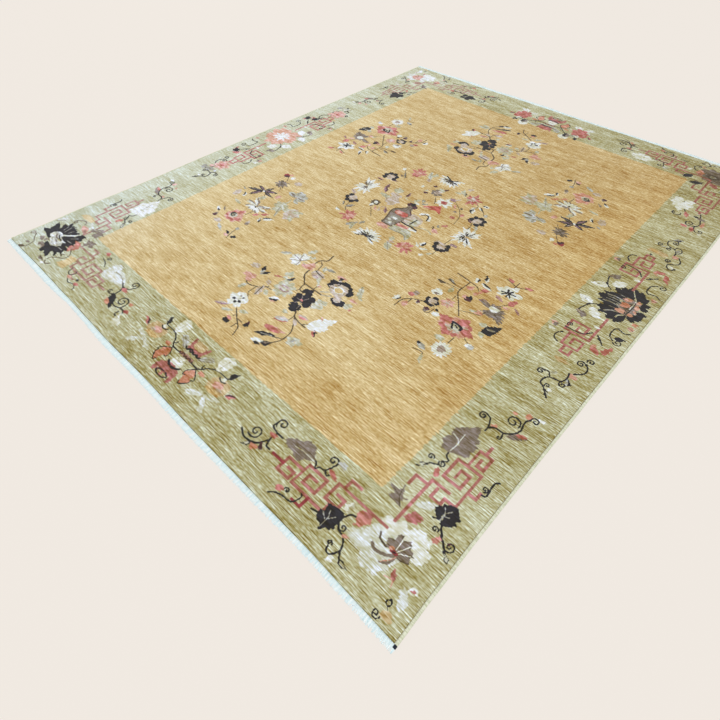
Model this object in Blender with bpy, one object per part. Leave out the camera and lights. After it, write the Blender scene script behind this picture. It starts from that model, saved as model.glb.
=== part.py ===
"""A hand-knotted wool rug in the Chinese Art Deco manner, lying flat on the floor.

It is made of a knotted pile carpet, an overcast cord along each side and a woven ivory
web with a short cut fringe at each end. Metres, +Z up. +X runs across the rug and +Y
along it, from the near end to the far end. The origin is on the floor under the middle
of the rug's overall rectangle.
"""

import bisect
import math
import random

import bmesh
import bpy

# Driving dimensions
RUG_WIDTH = 2.74  # over both side cords
RUG_LENGTH = 3.59  # over both fringes
PILE_THICKNESS = 0.010  # woven foundation and cut pile together
CORD_WIDTH = 0.012
CORD_HEIGHT = 0.009
NEAR_FRINGE = 0.028  # web and fringe together
FAR_FRINGE = 0.043
WEB_WIDTH = 0.011
WEB_THICKNESS = 0.003
PIECE_GAP = 0.0003

# Steps of the meshes
COLUMNS = 28  # across the rug
ROWS = 36  # along the rug
PILE_RIM_RADIUS = 0.004  # the cut pile's upper edge
PILE_RIM_STEPS = 2
CORD_CHAMFER = 0.0032

# The cut fringe
LOCKS = 130  # at each end
LOCK_ROOT_SHARE = 0.76  # of the space that each lock has
LOCK_TIP_SHARE = 0.48
LOCK_LENGTH_SPREAD = 0.004
LOCK_LEAN = 0.0035

# Gentle unevenness of the pile's height: amplitude, waves across, waves along, phase
PILE_WAVES = (
    (0.0005, 2.0, 3.0, 0.4),
    (0.0004, 5.0, 1.5, 2.1),
    (0.0003, 3.5, 7.0, 4.0),
)

# How far each edge of the lying rug bows outwards from its straight line, in millimetres
SIDE_COLUMNS = ("share_along", "bow")
LEFT_SIDE = (
    (0.00, 1.0), (0.05, -3.0), (0.12, 3.0), (0.22, -4.0), (0.36, 2.5),
    (0.50, 1.0), (0.64, 3.0), (0.80, 1.5), (0.92, -1.0), (1.00, 0.0),
)
RIGHT_SIDE = (
    (0.00, 5.0), (0.05, 0.5), (0.12, -2.5), (0.22, -3.0), (0.32, -1.5),
    (0.44, 0.5), (0.56, 3.5), (0.68, 5.0), (0.84, 3.0), (1.00, 1.0),
)
END_COLUMNS = ("share_across", "pile_bow", "tip_bow")
NEAR_END = (
    (0.00, 0.0, -2.0), (0.06, -2.5, 0.0), (0.11, -4.5, 0.5), (0.18, -3.0, 2.3),
    (0.22, -1.5, -0.8), (0.26, -2.0, -7.5), (0.31, 0.0, -4.0), (0.38, 3.0, 4.0),
    (0.50, -1.0, 0.0), (0.62, 2.5, 3.0), (0.74, 1.5, 0.0), (0.86, -1.0, -5.0),
    (0.94, 3.0, 0.5), (1.00, 6.0, 5.0),
)
FAR_END = (
    (0.00, 2.0, -2.0), (0.08, -2.0, -6.0), (0.15, 2.0, 6.0), (0.21, 0.0, 9.0),
    (0.28, -1.5, -2.0), (0.34, 3.0, 5.0), (0.45, 1.0, 6.0), (0.52, -2.0, -4.0),
    (0.58, -3.0, -8.0), (0.64, -1.0, -6.0), (0.72, 1.0, -4.0), (0.79, 2.0, 5.0),
    (0.90, 0.0, 2.0), (1.00, 1.0, -2.0),
)
MM = 0.001

# Finishes: colour, roughness
GOLD_WOOL = ((0.62, 0.42, 0.17), 0.95)
PALE_GREEN_WOOL = ((0.62, 0.66, 0.46), 0.9)
IVORY_COTTON = ((0.80, 0.85, 0.83), 0.9)


def bow(table, share, column):
    """The named bow of an edge at this share of its run, smoothly between the table's rows."""
    shares = [row[0] for row in table]
    after = min(max(bisect.bisect_right(shares, share), 1), len(table) - 1)
    low, high = table[after - 1], table[after]
    t = (share - low[0]) / (high[0] - low[0])
    ease = t * t * (3 - 2 * t)
    return (low[column] * (1 - ease) + high[column] * ease) * MM


def left_pile_edge(share_along):
    inside = CORD_WIDTH + PIECE_GAP
    return -RUG_WIDTH / 2 + inside - bow(LEFT_SIDE, share_along, SIDE_COLUMNS.index("bow"))


def right_pile_edge(share_along):
    inside = CORD_WIDTH + PIECE_GAP
    return RUG_WIDTH / 2 - inside + bow(RIGHT_SIDE, share_along, SIDE_COLUMNS.index("bow"))


def near_pile_edge(share_across):
    column = END_COLUMNS.index("pile_bow")
    return -RUG_LENGTH / 2 + NEAR_FRINGE - bow(NEAR_END, share_across, column)


def far_pile_edge(share_across):
    column = END_COLUMNS.index("pile_bow")
    return RUG_LENGTH / 2 - FAR_FRINGE + bow(FAR_END, share_across, column)


def near_tip_edge(share_across):
    return -RUG_LENGTH / 2 - bow(NEAR_END, share_across, END_COLUMNS.index("tip_bow"))


def far_tip_edge(share_across):
    return RUG_LENGTH / 2 + bow(FAR_END, share_across, END_COLUMNS.index("tip_bow"))


def lying_point(across, along):
    """Where the point at these shares of the carpet lies on the floor."""
    x = left_pile_edge(along) * (1 - across) + right_pile_edge(along) * across
    y = near_pile_edge(across) * (1 - along) + far_pile_edge(across) * along
    return x, y


def pile_height(across, along):
    """The height of the pile's top, a little uneven as the carpet relaxes on the floor."""
    uneven = sum(
        size * math.sin(math.tau * (waves_across * across + waves_along * along) / 2 + phase)
        for size, waves_across, waves_along, phase in PILE_WAVES
    )
    return PILE_THICKNESS + uneven


def clear_scene():
    for old in list(bpy.data.objects):
        bpy.data.objects.remove(old, do_unlink=True)


def new_collection(name):
    made = bpy.data.collections.new(name)
    bpy.context.scene.collection.children.link(made)
    return made


def wool(name, finish):
    colour, roughness = finish
    material = bpy.data.materials.new(name)
    material.use_nodes = True
    shader = material.node_tree.nodes["Principled BSDF"]
    shader.inputs["Base Color"].default_value = (*colour, 1.0)
    shader.inputs["Roughness"].default_value = roughness
    shader.inputs["Metallic"].default_value = 0.0
    return material


def place(name, data, collection, material):
    made = bpy.data.objects.new(name, data)
    collection.objects.link(made)
    data.materials.append(material)
    return made


def pile_carpet(collection, material):
    """The knotted carpet: a grid laid on the floor, given its thickness and a soft upper rim."""
    bm = bmesh.new()
    bmesh.ops.create_grid(bm, x_segments=COLUMNS, y_segments=ROWS, size=0.5)
    shares = {vert: (vert.co.x + 0.5, vert.co.y + 0.5) for vert in bm.verts}
    for vert, (across, along) in shares.items():
        vert.co.x, vert.co.y = lying_point(across, along)
    sheet = list(bm.faces)
    raised = bmesh.ops.extrude_face_region(bm, geom=sheet, use_keep_orig=True)["geom"]
    top = [piece for piece in raised if isinstance(piece, bmesh.types.BMVert)]
    below = {(vert.co.x, vert.co.y): share for vert, share in shares.items()}
    for vert in top:
        vert.co.z = pile_height(*below[(vert.co.x, vert.co.y)])
    bmesh.ops.recalc_face_normals(bm, faces=bm.faces)
    rim = [
        edge
        for edge in bm.edges
        if all(vert.co.z > 0 for vert in edge.verts)
        and any(all(vert.co.z > 0 for vert in face.verts) for face in edge.link_faces)
        and any(any(vert.co.z <= 0 for vert in face.verts) for face in edge.link_faces)
    ]
    bmesh.ops.bevel(
        bm, geom=rim, offset=PILE_RIM_RADIUS, segments=PILE_RIM_STEPS,
        profile=0.5, affect="EDGES", material=-1,
    )
    mesh = bpy.data.meshes.new("knotted_pile")
    bm.to_mesh(mesh)
    bm.free()
    mesh.shade_smooth()
    mesh.set_sharp_from_angle(angle=math.radians(40))
    return place("knotted_pile", mesh, collection, material)


def polyline(name, points, closed):
    """A flat curve object's data, through these points."""
    curve = bpy.data.curves.new(name, "CURVE")
    spline = curve.splines.new("POLY")
    spline.points.add(len(points) - 1)
    for point, (x, y) in zip(spline.points, points):
        point.co = (x, y, 0.0, 1.0)
    spline.use_cyclic_u = closed
    return curve


def cord_section(collection):
    """The side cord's section: a flattened bundle of warps with a flat underside."""
    half_width, half_height = CORD_WIDTH / 2, CORD_HEIGHT / 2
    flat_x, flat_y = half_width - CORD_CHAMFER, half_height - CORD_CHAMFER
    corners = (
        (flat_x, -half_height), (-flat_x, -half_height), (-half_width, -flat_y),
        (-half_width, flat_y), (-flat_x, half_height), (flat_x, half_height),
        (half_width, flat_y), (half_width, -flat_y),
    )
    section = bpy.data.objects.new("cord_section", polyline("cord_section", corners, True))
    section.hide_render = True
    section.display_type = "WIRE"
    collection.objects.link(section)
    return section


def side_cord(name, side, section, collection, material):
    """The overcast cord along one side; side is -1 on the left and 1 on the right."""
    edge = left_pile_edge if side < 0 else right_pile_edge
    corner = 0.0 if side < 0 else 1.0
    outwards = side * (PIECE_GAP + CORD_WIDTH / 2)
    near, far = near_pile_edge(corner), far_pile_edge(corner)
    route = [
        (edge(row / ROWS) + outwards, near + (far - near) * row / ROWS)
        for row in range(ROWS + 1)
    ]
    curve = polyline(name, route, False)
    curve.dimensions = "3D"
    curve.twist_mode = "Z_UP"
    curve.bevel_mode = "OBJECT"
    curve.bevel_object = section
    curve.use_fill_caps = True
    cord = place(name, curve, collection, material)
    cord.location.z = CORD_HEIGHT / 2
    return cord


def end_fringe(name, end, collection, material):
    """A woven web with cut locks of warp; end is -1 at the near end and 1 at the far end."""
    pile_edge = near_pile_edge if end < 0 else far_pile_edge
    tip_edge = near_tip_edge if end < 0 else far_tip_edge
    along = 0.0 if end < 0 else 1.0
    left = left_pile_edge(along) - PIECE_GAP - CORD_WIDTH
    right = right_pile_edge(along) + PIECE_GAP + CORD_WIDTH
    pile_left, pile_right = left_pile_edge(along), right_pile_edge(along)

    def share_at(x):
        return min(max((x - pile_left) / (pile_right - pile_left), 0.0), 1.0)

    def root(x):
        return pile_edge(share_at(x)) + end * PIECE_GAP

    columns = [pile_left + (pile_right - pile_left) * k / COLUMNS for k in range(COLUMNS + 1)]
    inner = [(x, root(x)) for x in [left, *columns, right]]
    draw = random.Random(f"{name} locks")
    pitch = (right - left) / LOCKS
    comb = []
    for number in range(LOCKS):
        middle = left + (number + 0.5) * pitch
        web = root(middle) + end * WEB_WIDTH
        tip = tip_edge(share_at(middle)) - end * draw.uniform(0, LOCK_LENGTH_SPREAD)
        lean = draw.uniform(-LOCK_LEAN, LOCK_LEAN)
        if number in (0, LOCKS - 1):
            lean = 0.0
        root_half, tip_half = pitch * LOCK_ROOT_SHARE / 2, pitch * LOCK_TIP_SHARE / 2
        comb += [
            (middle - root_half, web),
            (middle - tip_half + lean, tip),
            (middle + tip_half + lean, tip),
            (middle + root_half, web),
        ]
    corners = [(left, root(left) + end * WEB_WIDTH), (right, root(right) + end * WEB_WIDTH)]
    outline = [*inner, corners[1], *reversed(comb), corners[0]]
    curve = polyline(name, outline, True)
    curve.dimensions = "2D"
    curve.fill_mode = "BOTH"
    curve.extrude = WEB_THICKNESS / 2
    fringe = place(name, curve, collection, material)
    fringe.location.z = WEB_THICKNESS / 2
    return fringe


def build():
    clear_scene()
    rug = new_collection("chinese_art_deco_rug")
    helpers = new_collection("helpers")
    gold = wool("gold_wool", GOLD_WOOL)
    green = wool("pale_green_wool", PALE_GREEN_WOOL)
    ivory = wool("ivory_cotton", IVORY_COTTON)
    section = cord_section(helpers)
    pile_carpet(rug, gold)
    side_cord("side_cord_left", -1, section, rug, green)
    side_cord("side_cord_right", 1, section, rug, green)
    end_fringe("end_fringe_near", -1, rug, ivory)
    end_fringe("end_fringe_far", 1, rug, ivory)


build()
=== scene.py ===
"""The looks of a hand-knotted Chinese Art Deco rug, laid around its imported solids.

The design is first drawn on a chart with one square for each knot, as a rug's cartoon is,
and the pile is then cut from one sheet along the edges of the chart's colours. Metres,
+X across the rug, +Y along it to the far end. Points of the design are complex numbers
in millimetres from the rug's middle: across + along * 1j.
"""

import bisect
import math
import random

import bmesh
import bpy
import numpy as np
from mathutils import Matrix, Vector
from mathutils.geometry import delaunay_2d_cdt


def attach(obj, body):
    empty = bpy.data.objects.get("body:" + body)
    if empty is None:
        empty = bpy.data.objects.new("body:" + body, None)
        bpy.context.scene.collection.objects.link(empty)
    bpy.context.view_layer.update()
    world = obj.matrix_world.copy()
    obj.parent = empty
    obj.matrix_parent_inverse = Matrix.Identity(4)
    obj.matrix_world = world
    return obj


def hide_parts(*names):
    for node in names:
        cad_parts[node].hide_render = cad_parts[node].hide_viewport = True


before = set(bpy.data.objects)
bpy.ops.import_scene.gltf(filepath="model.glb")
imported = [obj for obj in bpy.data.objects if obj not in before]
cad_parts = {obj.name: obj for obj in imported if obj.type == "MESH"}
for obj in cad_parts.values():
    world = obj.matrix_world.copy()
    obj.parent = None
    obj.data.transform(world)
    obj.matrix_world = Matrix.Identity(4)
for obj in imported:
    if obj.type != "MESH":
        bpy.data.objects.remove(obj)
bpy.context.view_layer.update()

# The lying rug, in metres, as its solids have it
RUG_WIDTH = 2.74
RUG_LENGTH = 3.59
PILE_THICKNESS = 0.010
CORD_WIDTH = 0.012
CORD_HEIGHT = 0.009
NEAR_FRINGE = 0.028
FAR_FRINGE = 0.043
WEB_WIDTH = 0.011
PIECE_GAP = 0.0003
# The top's unevenness: its size, its waves across and along the rug, and its phase
PILE_WAVES = ((0.0005, 2.0, 3.0, 0.4), (0.0004, 5.0, 1.5, 2.1), (0.0003, 3.5, 7.0, 4.0))

# How far each edge bows outwards from its straight line, in millimetres, at a share of its run
LEFT_SIDE = (
    (0.00, 1.0), (0.05, -3.0), (0.12, 3.0), (0.22, -4.0), (0.36, 2.5),
    (0.50, 1.0), (0.64, 3.0), (0.80, 1.5), (0.92, -1.0), (1.00, 0.0),
)
RIGHT_SIDE = (
    (0.00, 5.0), (0.05, 0.5), (0.12, -2.5), (0.22, -3.0), (0.32, -1.5),
    (0.44, 0.5), (0.56, 3.5), (0.68, 5.0), (0.84, 3.0), (1.00, 1.0),
)
END_COLUMNS = ("share_across", "pile_bow", "tip_bow")
NEAR_END = (
    (0.00, 0.0, -2.0), (0.06, -2.5, 0.0), (0.11, -4.5, 0.5), (0.18, -3.0, 2.3),
    (0.22, -1.5, -0.8), (0.26, -2.0, -7.5), (0.31, 0.0, -4.0), (0.38, 3.0, 4.0),
    (0.50, -1.0, 0.0), (0.62, 2.5, 3.0), (0.74, 1.5, 0.0), (0.86, -1.0, -5.0),
    (0.94, 3.0, 0.5), (1.00, 6.0, 5.0),
)
FAR_END = (
    (0.00, 2.0, -2.0), (0.08, -2.0, -6.0), (0.15, 2.0, 6.0), (0.21, 0.0, 9.0),
    (0.28, -1.5, -2.0), (0.34, 3.0, 5.0), (0.45, 1.0, 6.0), (0.52, -2.0, -4.0),
    (0.58, -3.0, -8.0), (0.64, -1.0, -6.0), (0.72, 1.0, -4.0), (0.79, 2.0, 5.0),
    (0.90, 0.0, 2.0), (1.00, 1.0, -2.0),
)
MM = 0.001
BOW_REACH = 0.03  # the share of the rug that an edge's bow still moves

# The chart
KNOT = 0.0025
PILE_WIDTH = RUG_WIDTH - 2 * (CORD_WIDTH + PIECE_GAP)
PILE_LENGTH = RUG_LENGTH - NEAR_FRINGE - FAR_FRINGE
KNOTS_ACROSS = round(PILE_WIDTH / KNOT)
KNOTS_ALONG = round(PILE_LENGTH / KNOT)
FIRST_KNOT = complex(-PILE_WIDTH / 2, -RUG_LENGTH / 2 + NEAR_FRINGE) / MM
FIELD_LOW, FIELD_HIGH = -1018 - 1442j, 1028 + 1434j

# Wool colours, sRGB, and how unevenly each has taken its dye
WOOLS = {
    "gold": (197, 170, 116, 0.0),
    "green": (176, 172, 131, 0.0),
    "black": (52, 50, 51, 0.5),
    "ivory": (215, 217, 205, 0.5),
    "chalk": (203, 206, 193, 0.5),
    "rose": (178, 110, 99, 1.0),
    "crimson": (142, 66, 66, 0.5),
    "brick": (165, 106, 97, 0.9),
    "coral": (194, 136, 110, 0.7),
    "lilac": (184, 168, 147, 0.7),
    "mist": (176, 176, 163, 0.7),
    "umber": (126, 114, 101, 0.6),
    "sage": (180, 177, 148, 0.7),
    "plum": (84, 58, 60, 0.5),
    "yellow": (188, 166, 122, 0.5),
    "twig": (92, 80, 62, 0.4),
    "blush": (197, 150, 130, 0.8),
    "grey": (146, 142, 126, 0.6),
    "apricot": (198, 150, 124, 0.6),
    "purple": (142, 112, 114, 0.5),
    "salmon": (180, 120, 104, 0.9),
    "old_rose": (158, 121, 107, 0.7),
    "red": (182, 94, 82, 0.7),
    "taupe": (156, 140, 124, 0.6),
}
NAMES = list(WOOLS)
GROUNDS = ("gold", "green")  # of the field and of the border


def bow(table, share, column=1):
    """An edge's bow at this share of its run, smoothly between the table's rows."""
    shares = [row[0] for row in table]
    after = min(max(bisect.bisect_right(shares, share), 1), len(table) - 1)
    low, high = table[after - 1], table[after]
    t = (share - low[0]) / (high[0] - low[0])
    ease = t * t * (3 - 2 * t)
    return (low[column] * (1 - ease) + high[column] * ease) * MM


def side_x(side, share):
    """The pile's edge on the left (-1) or right (1) side."""
    table = LEFT_SIDE if side < 0 else RIGHT_SIDE
    return side * (RUG_WIDTH / 2 - CORD_WIDTH - PIECE_GAP + bow(table, share))


def end_y(end, share):
    """The pile's edge at the near (-1) or far (1) end."""
    table, fringe_run = (NEAR_END, NEAR_FRINGE) if end < 0 else (FAR_END, FAR_FRINGE)
    return end * (RUG_LENGTH / 2 - fringe_run + bow(table, share))


def tip_y(end, share):
    """The fringe's outer edge at the near (-1) or far (1) end."""
    table = NEAR_END if end < 0 else FAR_END
    return end * (RUG_LENGTH / 2 + bow(table, share, END_COLUMNS.index("tip_bow")))


def from_edge(share):
    """How much of an edge's bow a place takes on at this share of the way from it."""
    return max(0.0, 1 - share / BOW_REACH)


def lying_point(across, along):
    """Where the knot at these shares of the pile lies, its edges bowed."""
    x = (across - 0.5) * PILE_WIDTH
    y = FIRST_KNOT.imag * MM + along * PILE_LENGTH
    x += (side_x(-1, along) + PILE_WIDTH / 2) * from_edge(across)
    x += (side_x(1, along) - PILE_WIDTH / 2) * from_edge(1 - across)
    y += (end_y(-1, across) - FIRST_KNOT.imag * MM) * from_edge(along)
    y += (end_y(1, across) - FIRST_KNOT.imag * MM - PILE_LENGTH) * from_edge(1 - along)
    return x, y


def pile_height(across, along):
    """How high the pile stands at these shares of it."""
    return PILE_THICKNESS + sum(
        size * math.sin(math.tau * (waves_across * across + waves_along * along) / 2 + phase)
        for size, waves_across, waves_along, phase in PILE_WAVES
    )


# ---------------------------------------------------------------- drawn shapes
# A patch is (wool, points, width): a filled outline where width is 0, else a line of yarn.

FILLED = 0
FRET_WIDTH = 12
VEIN_WIDTH = 3.5


def heading(turn):
    """The direction at this many degrees from across."""
    return np.exp(1j * math.radians(turn))


def leaf_outline(length, width, fullness=0.8):
    """A pointed leaf about its middle, its widest part nearer its base."""
    t = np.linspace(0, 1, 10)
    half = width / 2 * np.sin(np.pi * t**fullness)
    edge = (t - 0.5) * length + 1j * half
    return np.concatenate([edge, edge.conj()[-2:0:-1]])


def round_lobes(size, lobes, depth):
    """An outline of rounded petals that meet in creases."""
    a = np.linspace(0, math.tau, lobes * 8, endpoint=False)
    return size * (1 - depth + depth * np.abs(np.cos(lobes * a / 2)) ** 0.7) * np.exp(1j * a)


def ragged(size, teeth, depth, seed=0):
    """A round outline with uneven teeth."""
    draw = random.Random(seed)
    a = np.linspace(0, math.tau, teeth * 2, endpoint=False)
    r = [size * (1 - depth * (k % 2) - depth * draw.uniform(-0.4, 0.4)) for k in range(teeth * 2)]
    return np.array(r) * np.exp(1j * a)


def oval(length, width):
    """An oval about its middle."""
    a = np.linspace(0, math.tau, 16, endpoint=False)
    return length / 2 * np.cos(a) + 1j * width / 2 * np.sin(a)


def smooth_line(points):
    """A soft curve through these points."""
    p = np.array(points, complex)
    if len(p) < 3:
        return p
    ends = np.concatenate([[2 * p[0] - p[1]], p, [2 * p[-1] - p[-2]]])
    t = np.linspace(0, 1, 7)[:-1, None]
    a, b, c, d = ends[:-3], ends[1:-2], ends[2:-1], ends[3:]
    curve = 0.5 * (
        2 * b + (c - a) * t + (2 * a - 5 * b + 4 * c - d) * t**2 + (3 * b - a - 3 * c + d) * t**3
    )
    return np.append(curve.T.ravel(), p[-1])


# The kinds of motif. Each takes its wool, a second wool or None, and its numbers.


def line(wool, second, width, *points):
    """A soft line of yarn through these points."""
    return [(wool, smooth_line(points), width)]


def fret(wool, second, *points):
    """A square-cornered line of fretwork."""
    return [(wool, np.array(points), FRET_WIDTH)]


def area(wool, second, *points):
    """A filled shape with a soft outline."""
    return [(wool, smooth_line([*points, points[0]])[:-1], FILLED)]


def block(wool, second, low, high):
    """A filled rectangle between two of its corners."""
    corners = [low, complex(high.real, low.imag), high, complex(low.real, high.imag)]
    return [(wool, np.array(corners), FILLED)]


def curl(wool, second, width, at, size, start, turns):
    """A tendril's curl: it starts at its rim, headed by start, and winds inwards."""
    t = np.linspace(0, 1, 22)
    wind = np.exp(1j * (math.radians(start) + math.tau * turns * t))
    return [(wool, at + size * (1 - 0.82 * t) * wind, width)]


def leaf(wool, vein, at, length, width, turn):
    """A pointed leaf, with a vein if it has a second wool."""
    patches = [(wool, at + leaf_outline(length, width) * heading(turn), FILLED)]
    if vein:
        run = at + np.array([-0.42, 0.34]) * length * heading(turn)
        patches.append((vein, run, max(VEIN_WIDTH, width * 0.14)))
    return patches


def blade(wool, inner, root, tip, width):
    """A pointed leaf from its root to its tip, outlined if it has an inner wool."""
    run, middle = tip - root, (root + tip) / 2
    outline = leaf_outline(abs(run), width) * run / abs(run) + middle
    patches = [(wool, outline, FILLED)]
    if inner:
        patches.append((inner, (outline - middle) * 0.62 + middle, FILLED))
    return patches


# A torn petal's edge: the share of the way to its tip, and of its width to one side
PLUME_EDGE = (
    (0.0, 0.1), (0.2, 0.34), (0.42, 0.48), (0.6, 0.42), (0.66, 0.5), (0.76, 0.28),
    (0.84, 0.32), (0.9, 0.13), (0.94, 0.16), (1.0, 0.0),
)


def plume(wool, shade, root, tip, width):
    """A broad petal with torn teeth towards its tip, over a shaded one beside it."""
    run = tip - root
    half = np.array([t + 1j * side * width / abs(run) for t, side in PLUME_EDGE])
    outline = np.concatenate([half, half.conj()[-2:0:-1]])
    patches = [(wool, root + outline * run, FILLED)]
    if shade:
        patches.insert(0, (shade, root + outline * run * 1.04 * heading(-7), FILLED))
    return patches


def edged(wool, second, at, length, width, turn):
    """A leaf with one half in a second wool."""
    outline = leaf_outline(length, width)
    half = np.where(outline.imag > 0, outline.real + 0j, outline)
    return [
        (wool, at + outline * heading(turn), FILLED),
        (second or wool, at + half * heading(turn), FILLED),
    ]


def bud(wool, cup, at, length, width, turn):
    """A bud with its base in a cup of the second wool."""
    base = leaf_outline(length * 0.6, width * 1.05) - length * 0.22
    return [
        (wool, at + leaf_outline(length, width) * heading(turn), FILLED),
        (cup or wool, at + base * heading(turn), FILLED),
    ]


def spot(wool, heart, at, length, width, turn=0):
    """An oval, with a smaller one in it if it has a second wool."""
    patches = [(wool, at + oval(length, width) * heading(turn), FILLED)]
    if heart:
        patches.append((heart, at + oval(length * 0.45, width * 0.45) * heading(turn), FILLED))
    return patches


def faded(wool, second, at, length, width, turn=0):
    """A soft-edged patch of worn colour."""
    shape = ragged(1, 7, 0.22, seed=round(abs(at)))
    shape = shape.real * length / 2 + 1j * shape.imag * width / 2
    return [(wool, at + shape * heading(turn), FILLED)]


# One side of a vine leaf, and its veins' ends, as shares of its half length and width
MAPLE_HALF = (
    (-1.0, 0.0), (-0.62, 0.1), (-0.78, 0.42), (-0.42, 0.4), (-0.3, 0.9), (-0.02, 0.6),
    (0.26, 0.78), (0.3, 0.4), (0.68, 0.36), (0.62, 0.16), (1.0, 0.0),
)
MAPLE_VEINS = ((0.7, 0), (0.28, 0.5), (-0.28, 0.55))


def maple(wool, vein, at, length, width, turn):
    """A vine leaf with pointed lobes and branching veins."""
    half = np.array([x * length / 2 + 1j * y * width / 2 for x, y in MAPLE_HALF])
    outline = np.concatenate([half, half.conj()[-2:0:-1]])
    patches = [(wool, at + outline * heading(turn), FILLED)]
    root = -0.9 * length / 2
    for x, y in MAPLE_VEINS if vein else ():
        for side in (1, -1):
            tip = x * length / 2 + side * 1j * y * width / 2
            start = root * (0.55 if y else 1)
            patches.append((vein, at + np.array([start, tip]) * heading(turn), VEIN_WIDTH))
    return patches


def petals(wool, shade, at, width, *tips):
    """Petals from one place to these tips, each over a shaded one beside it."""
    patches = []
    for part, turn in ((shade, -9), (wool, 0)):
        for tip in tips if part else ():
            reach = abs(tip)
            shape = leaf_outline(reach * 0.94, width, 1.05) + reach * 0.53
            patches.append((part, at + shape * tip / reach * heading(turn), FILLED))
    return patches


def rose(wool, pale, at, width, *tips):
    """A blossom of dark petal tips around a pale ragged middle."""
    reach = sum(abs(tip) for tip in tips) / len(tips)
    return [
        (pale, at + ragged(reach * 0.72, 9, 0.3, seed=round(abs(at))), FILLED),
        *petals(wool, None, at, width, *tips),
        (pale, at + ragged(reach * 0.44, 8, 0.4, seed=round(reach)), FILLED),
    ]


def crown(wool, heart, at, size, first, last, lobes):
    """A blossom with dark lobes round a part of its pale middle."""
    patches = [(heart, at + ragged(size * 0.72, 8, 0.16, seed=round(size)), FILLED)]
    for k in range(int(lobes)):
        turn = first + (last - first) * k / (lobes - 1)
        lobe = oval(size * 0.6, size * 0.68) * heading(turn) + size * 0.76 * heading(turn)
        patches.append((wool, at + lobe, FILLED))
    return patches


def plum(wool, heart, at, size, count, turn):
    """A round blossom with creases between its petals."""
    count = int(count)
    creases = [
        (heart, at + np.array([0.1, 0.55]) * size * heading(turn + 360 * (k + 0.5) / count), 4)
        for k in range(count)
    ]
    outline = at + round_lobes(size, count, 0.36) * heading(turn)
    return [(wool, outline, FILLED), *creases, (heart, at + oval(size * 0.5, size * 0.5), FILLED)]


def daisy(wool, heart, at, size, count, turn):
    """A blossom of pointed petals round a heart."""
    tips = [size * heading(turn + k * 360 / count) for k in range(int(count))]
    ring = petals(wool, None, at, size * 5 / count, *tips)
    return [*ring, (heart, at + oval(size * 0.8, size * 0.8), FILLED)]


def lotus(at, size, wool, edge, heart, middle):
    """A lotus: jagged pointed petals around an open heart."""
    patches = []
    for k in range(12):
        angle = 15 + 30 * k + 6 * math.sin(k * 2.4)
        reach = size * (0.94 + 0.1 * math.sin(k * 1.7))
        for part, width, part_wool in ((1.03, 0.5, edge), (1.0, 0.4, wool)):
            petal = leaf_outline(reach * part, size * width, 1.15) + reach * part * 0.5
            patches.append((part_wool, at + petal * heading(angle), FILLED))
        for side in (-1, 1):
            tooth = leaf_outline(size * 0.5, size * 0.16, 1.0) * heading(side * 16)
            tooth += size * (0.62 + side * 0.09j)
            patches.append((wool, at + tooth * heading(angle), FILLED))
    patches.append((wool, at + ragged(size * 0.62, 12, 0.12, seed=2), FILLED))
    for k in range(9):
        for part, width, part_wool in ((0.56, 0.24, edge), (0.52, 0.17, heart)):
            petal = leaf_outline(size * part, size * width, 1.1) + size * part * 0.5
            patches.append((part_wool, at + petal * heading(40 * k + 10), FILLED))
    patches.append((middle, at + oval(size * 0.24, size * 0.24), FILLED))
    return patches


KINDS = {
    kind.__name__: kind
    for kind in (line, fret, area, block, curl, leaf, blade, plume, edged, bud, spot, faded, maple,
                 petals, rose, crown, plum, daisy)
}


def number(word, origin=0):
    """A row's number: a place as across,along, a petal's tip as turn:length, or a plain one."""
    if "," in word:
        return origin + complex(*map(float, word.split(",")))
    if ":" in word:
        turn, length = map(float, word.split(":"))
        return length * heading(turn)
    return float(word)


def drawn(rows):
    """A unit of the design, from rows of a kind, its wool or wools, and its numbers.

    A "from" row gives the place that the places after it are told from. A bar begins
    another motif of the same kind and wools, which keeps the width of yarn where it gives
    none. A row that starts with a space goes on with the one above. The patches come in the
    order in which they cover each other.
    """
    patches = []
    origin = 0
    for row in filter(None, rows.replace("\n ", " ").splitlines()):
        if row.startswith("from "):
            origin = number(row.split()[1])
            continue
        kind, wools, motifs = row.split(None, 2)
        wool, _, second = wools.partition("/")
        width = []
        for motif in motifs.split("|"):
            numbers = [number(word, origin) for word in motif.split()]
            if isinstance(numbers[0], complex):
                numbers = width + numbers
            else:
                width = numbers[:1]
            patches += KINDS[kind](wool, second or None, *numbers)
    return patches


def moved(patches, flip_across=False, flip_along=False, shift=0):
    """A mirrored or half-turned copy of a unit, moved by the shift."""
    out = []
    for wool, points, width in patches:
        if flip_across:
            points = -points.conj()
        if flip_along:
            points = points.conj()
        out.append((wool, points + shift, width))
    return out


def rewooled(patches, changes):
    """The same patches in other wools."""
    return [(changes.get(wool, wool), points, width) for wool, points, width in patches]


# ---------------------------------------------------------------- the field

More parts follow.
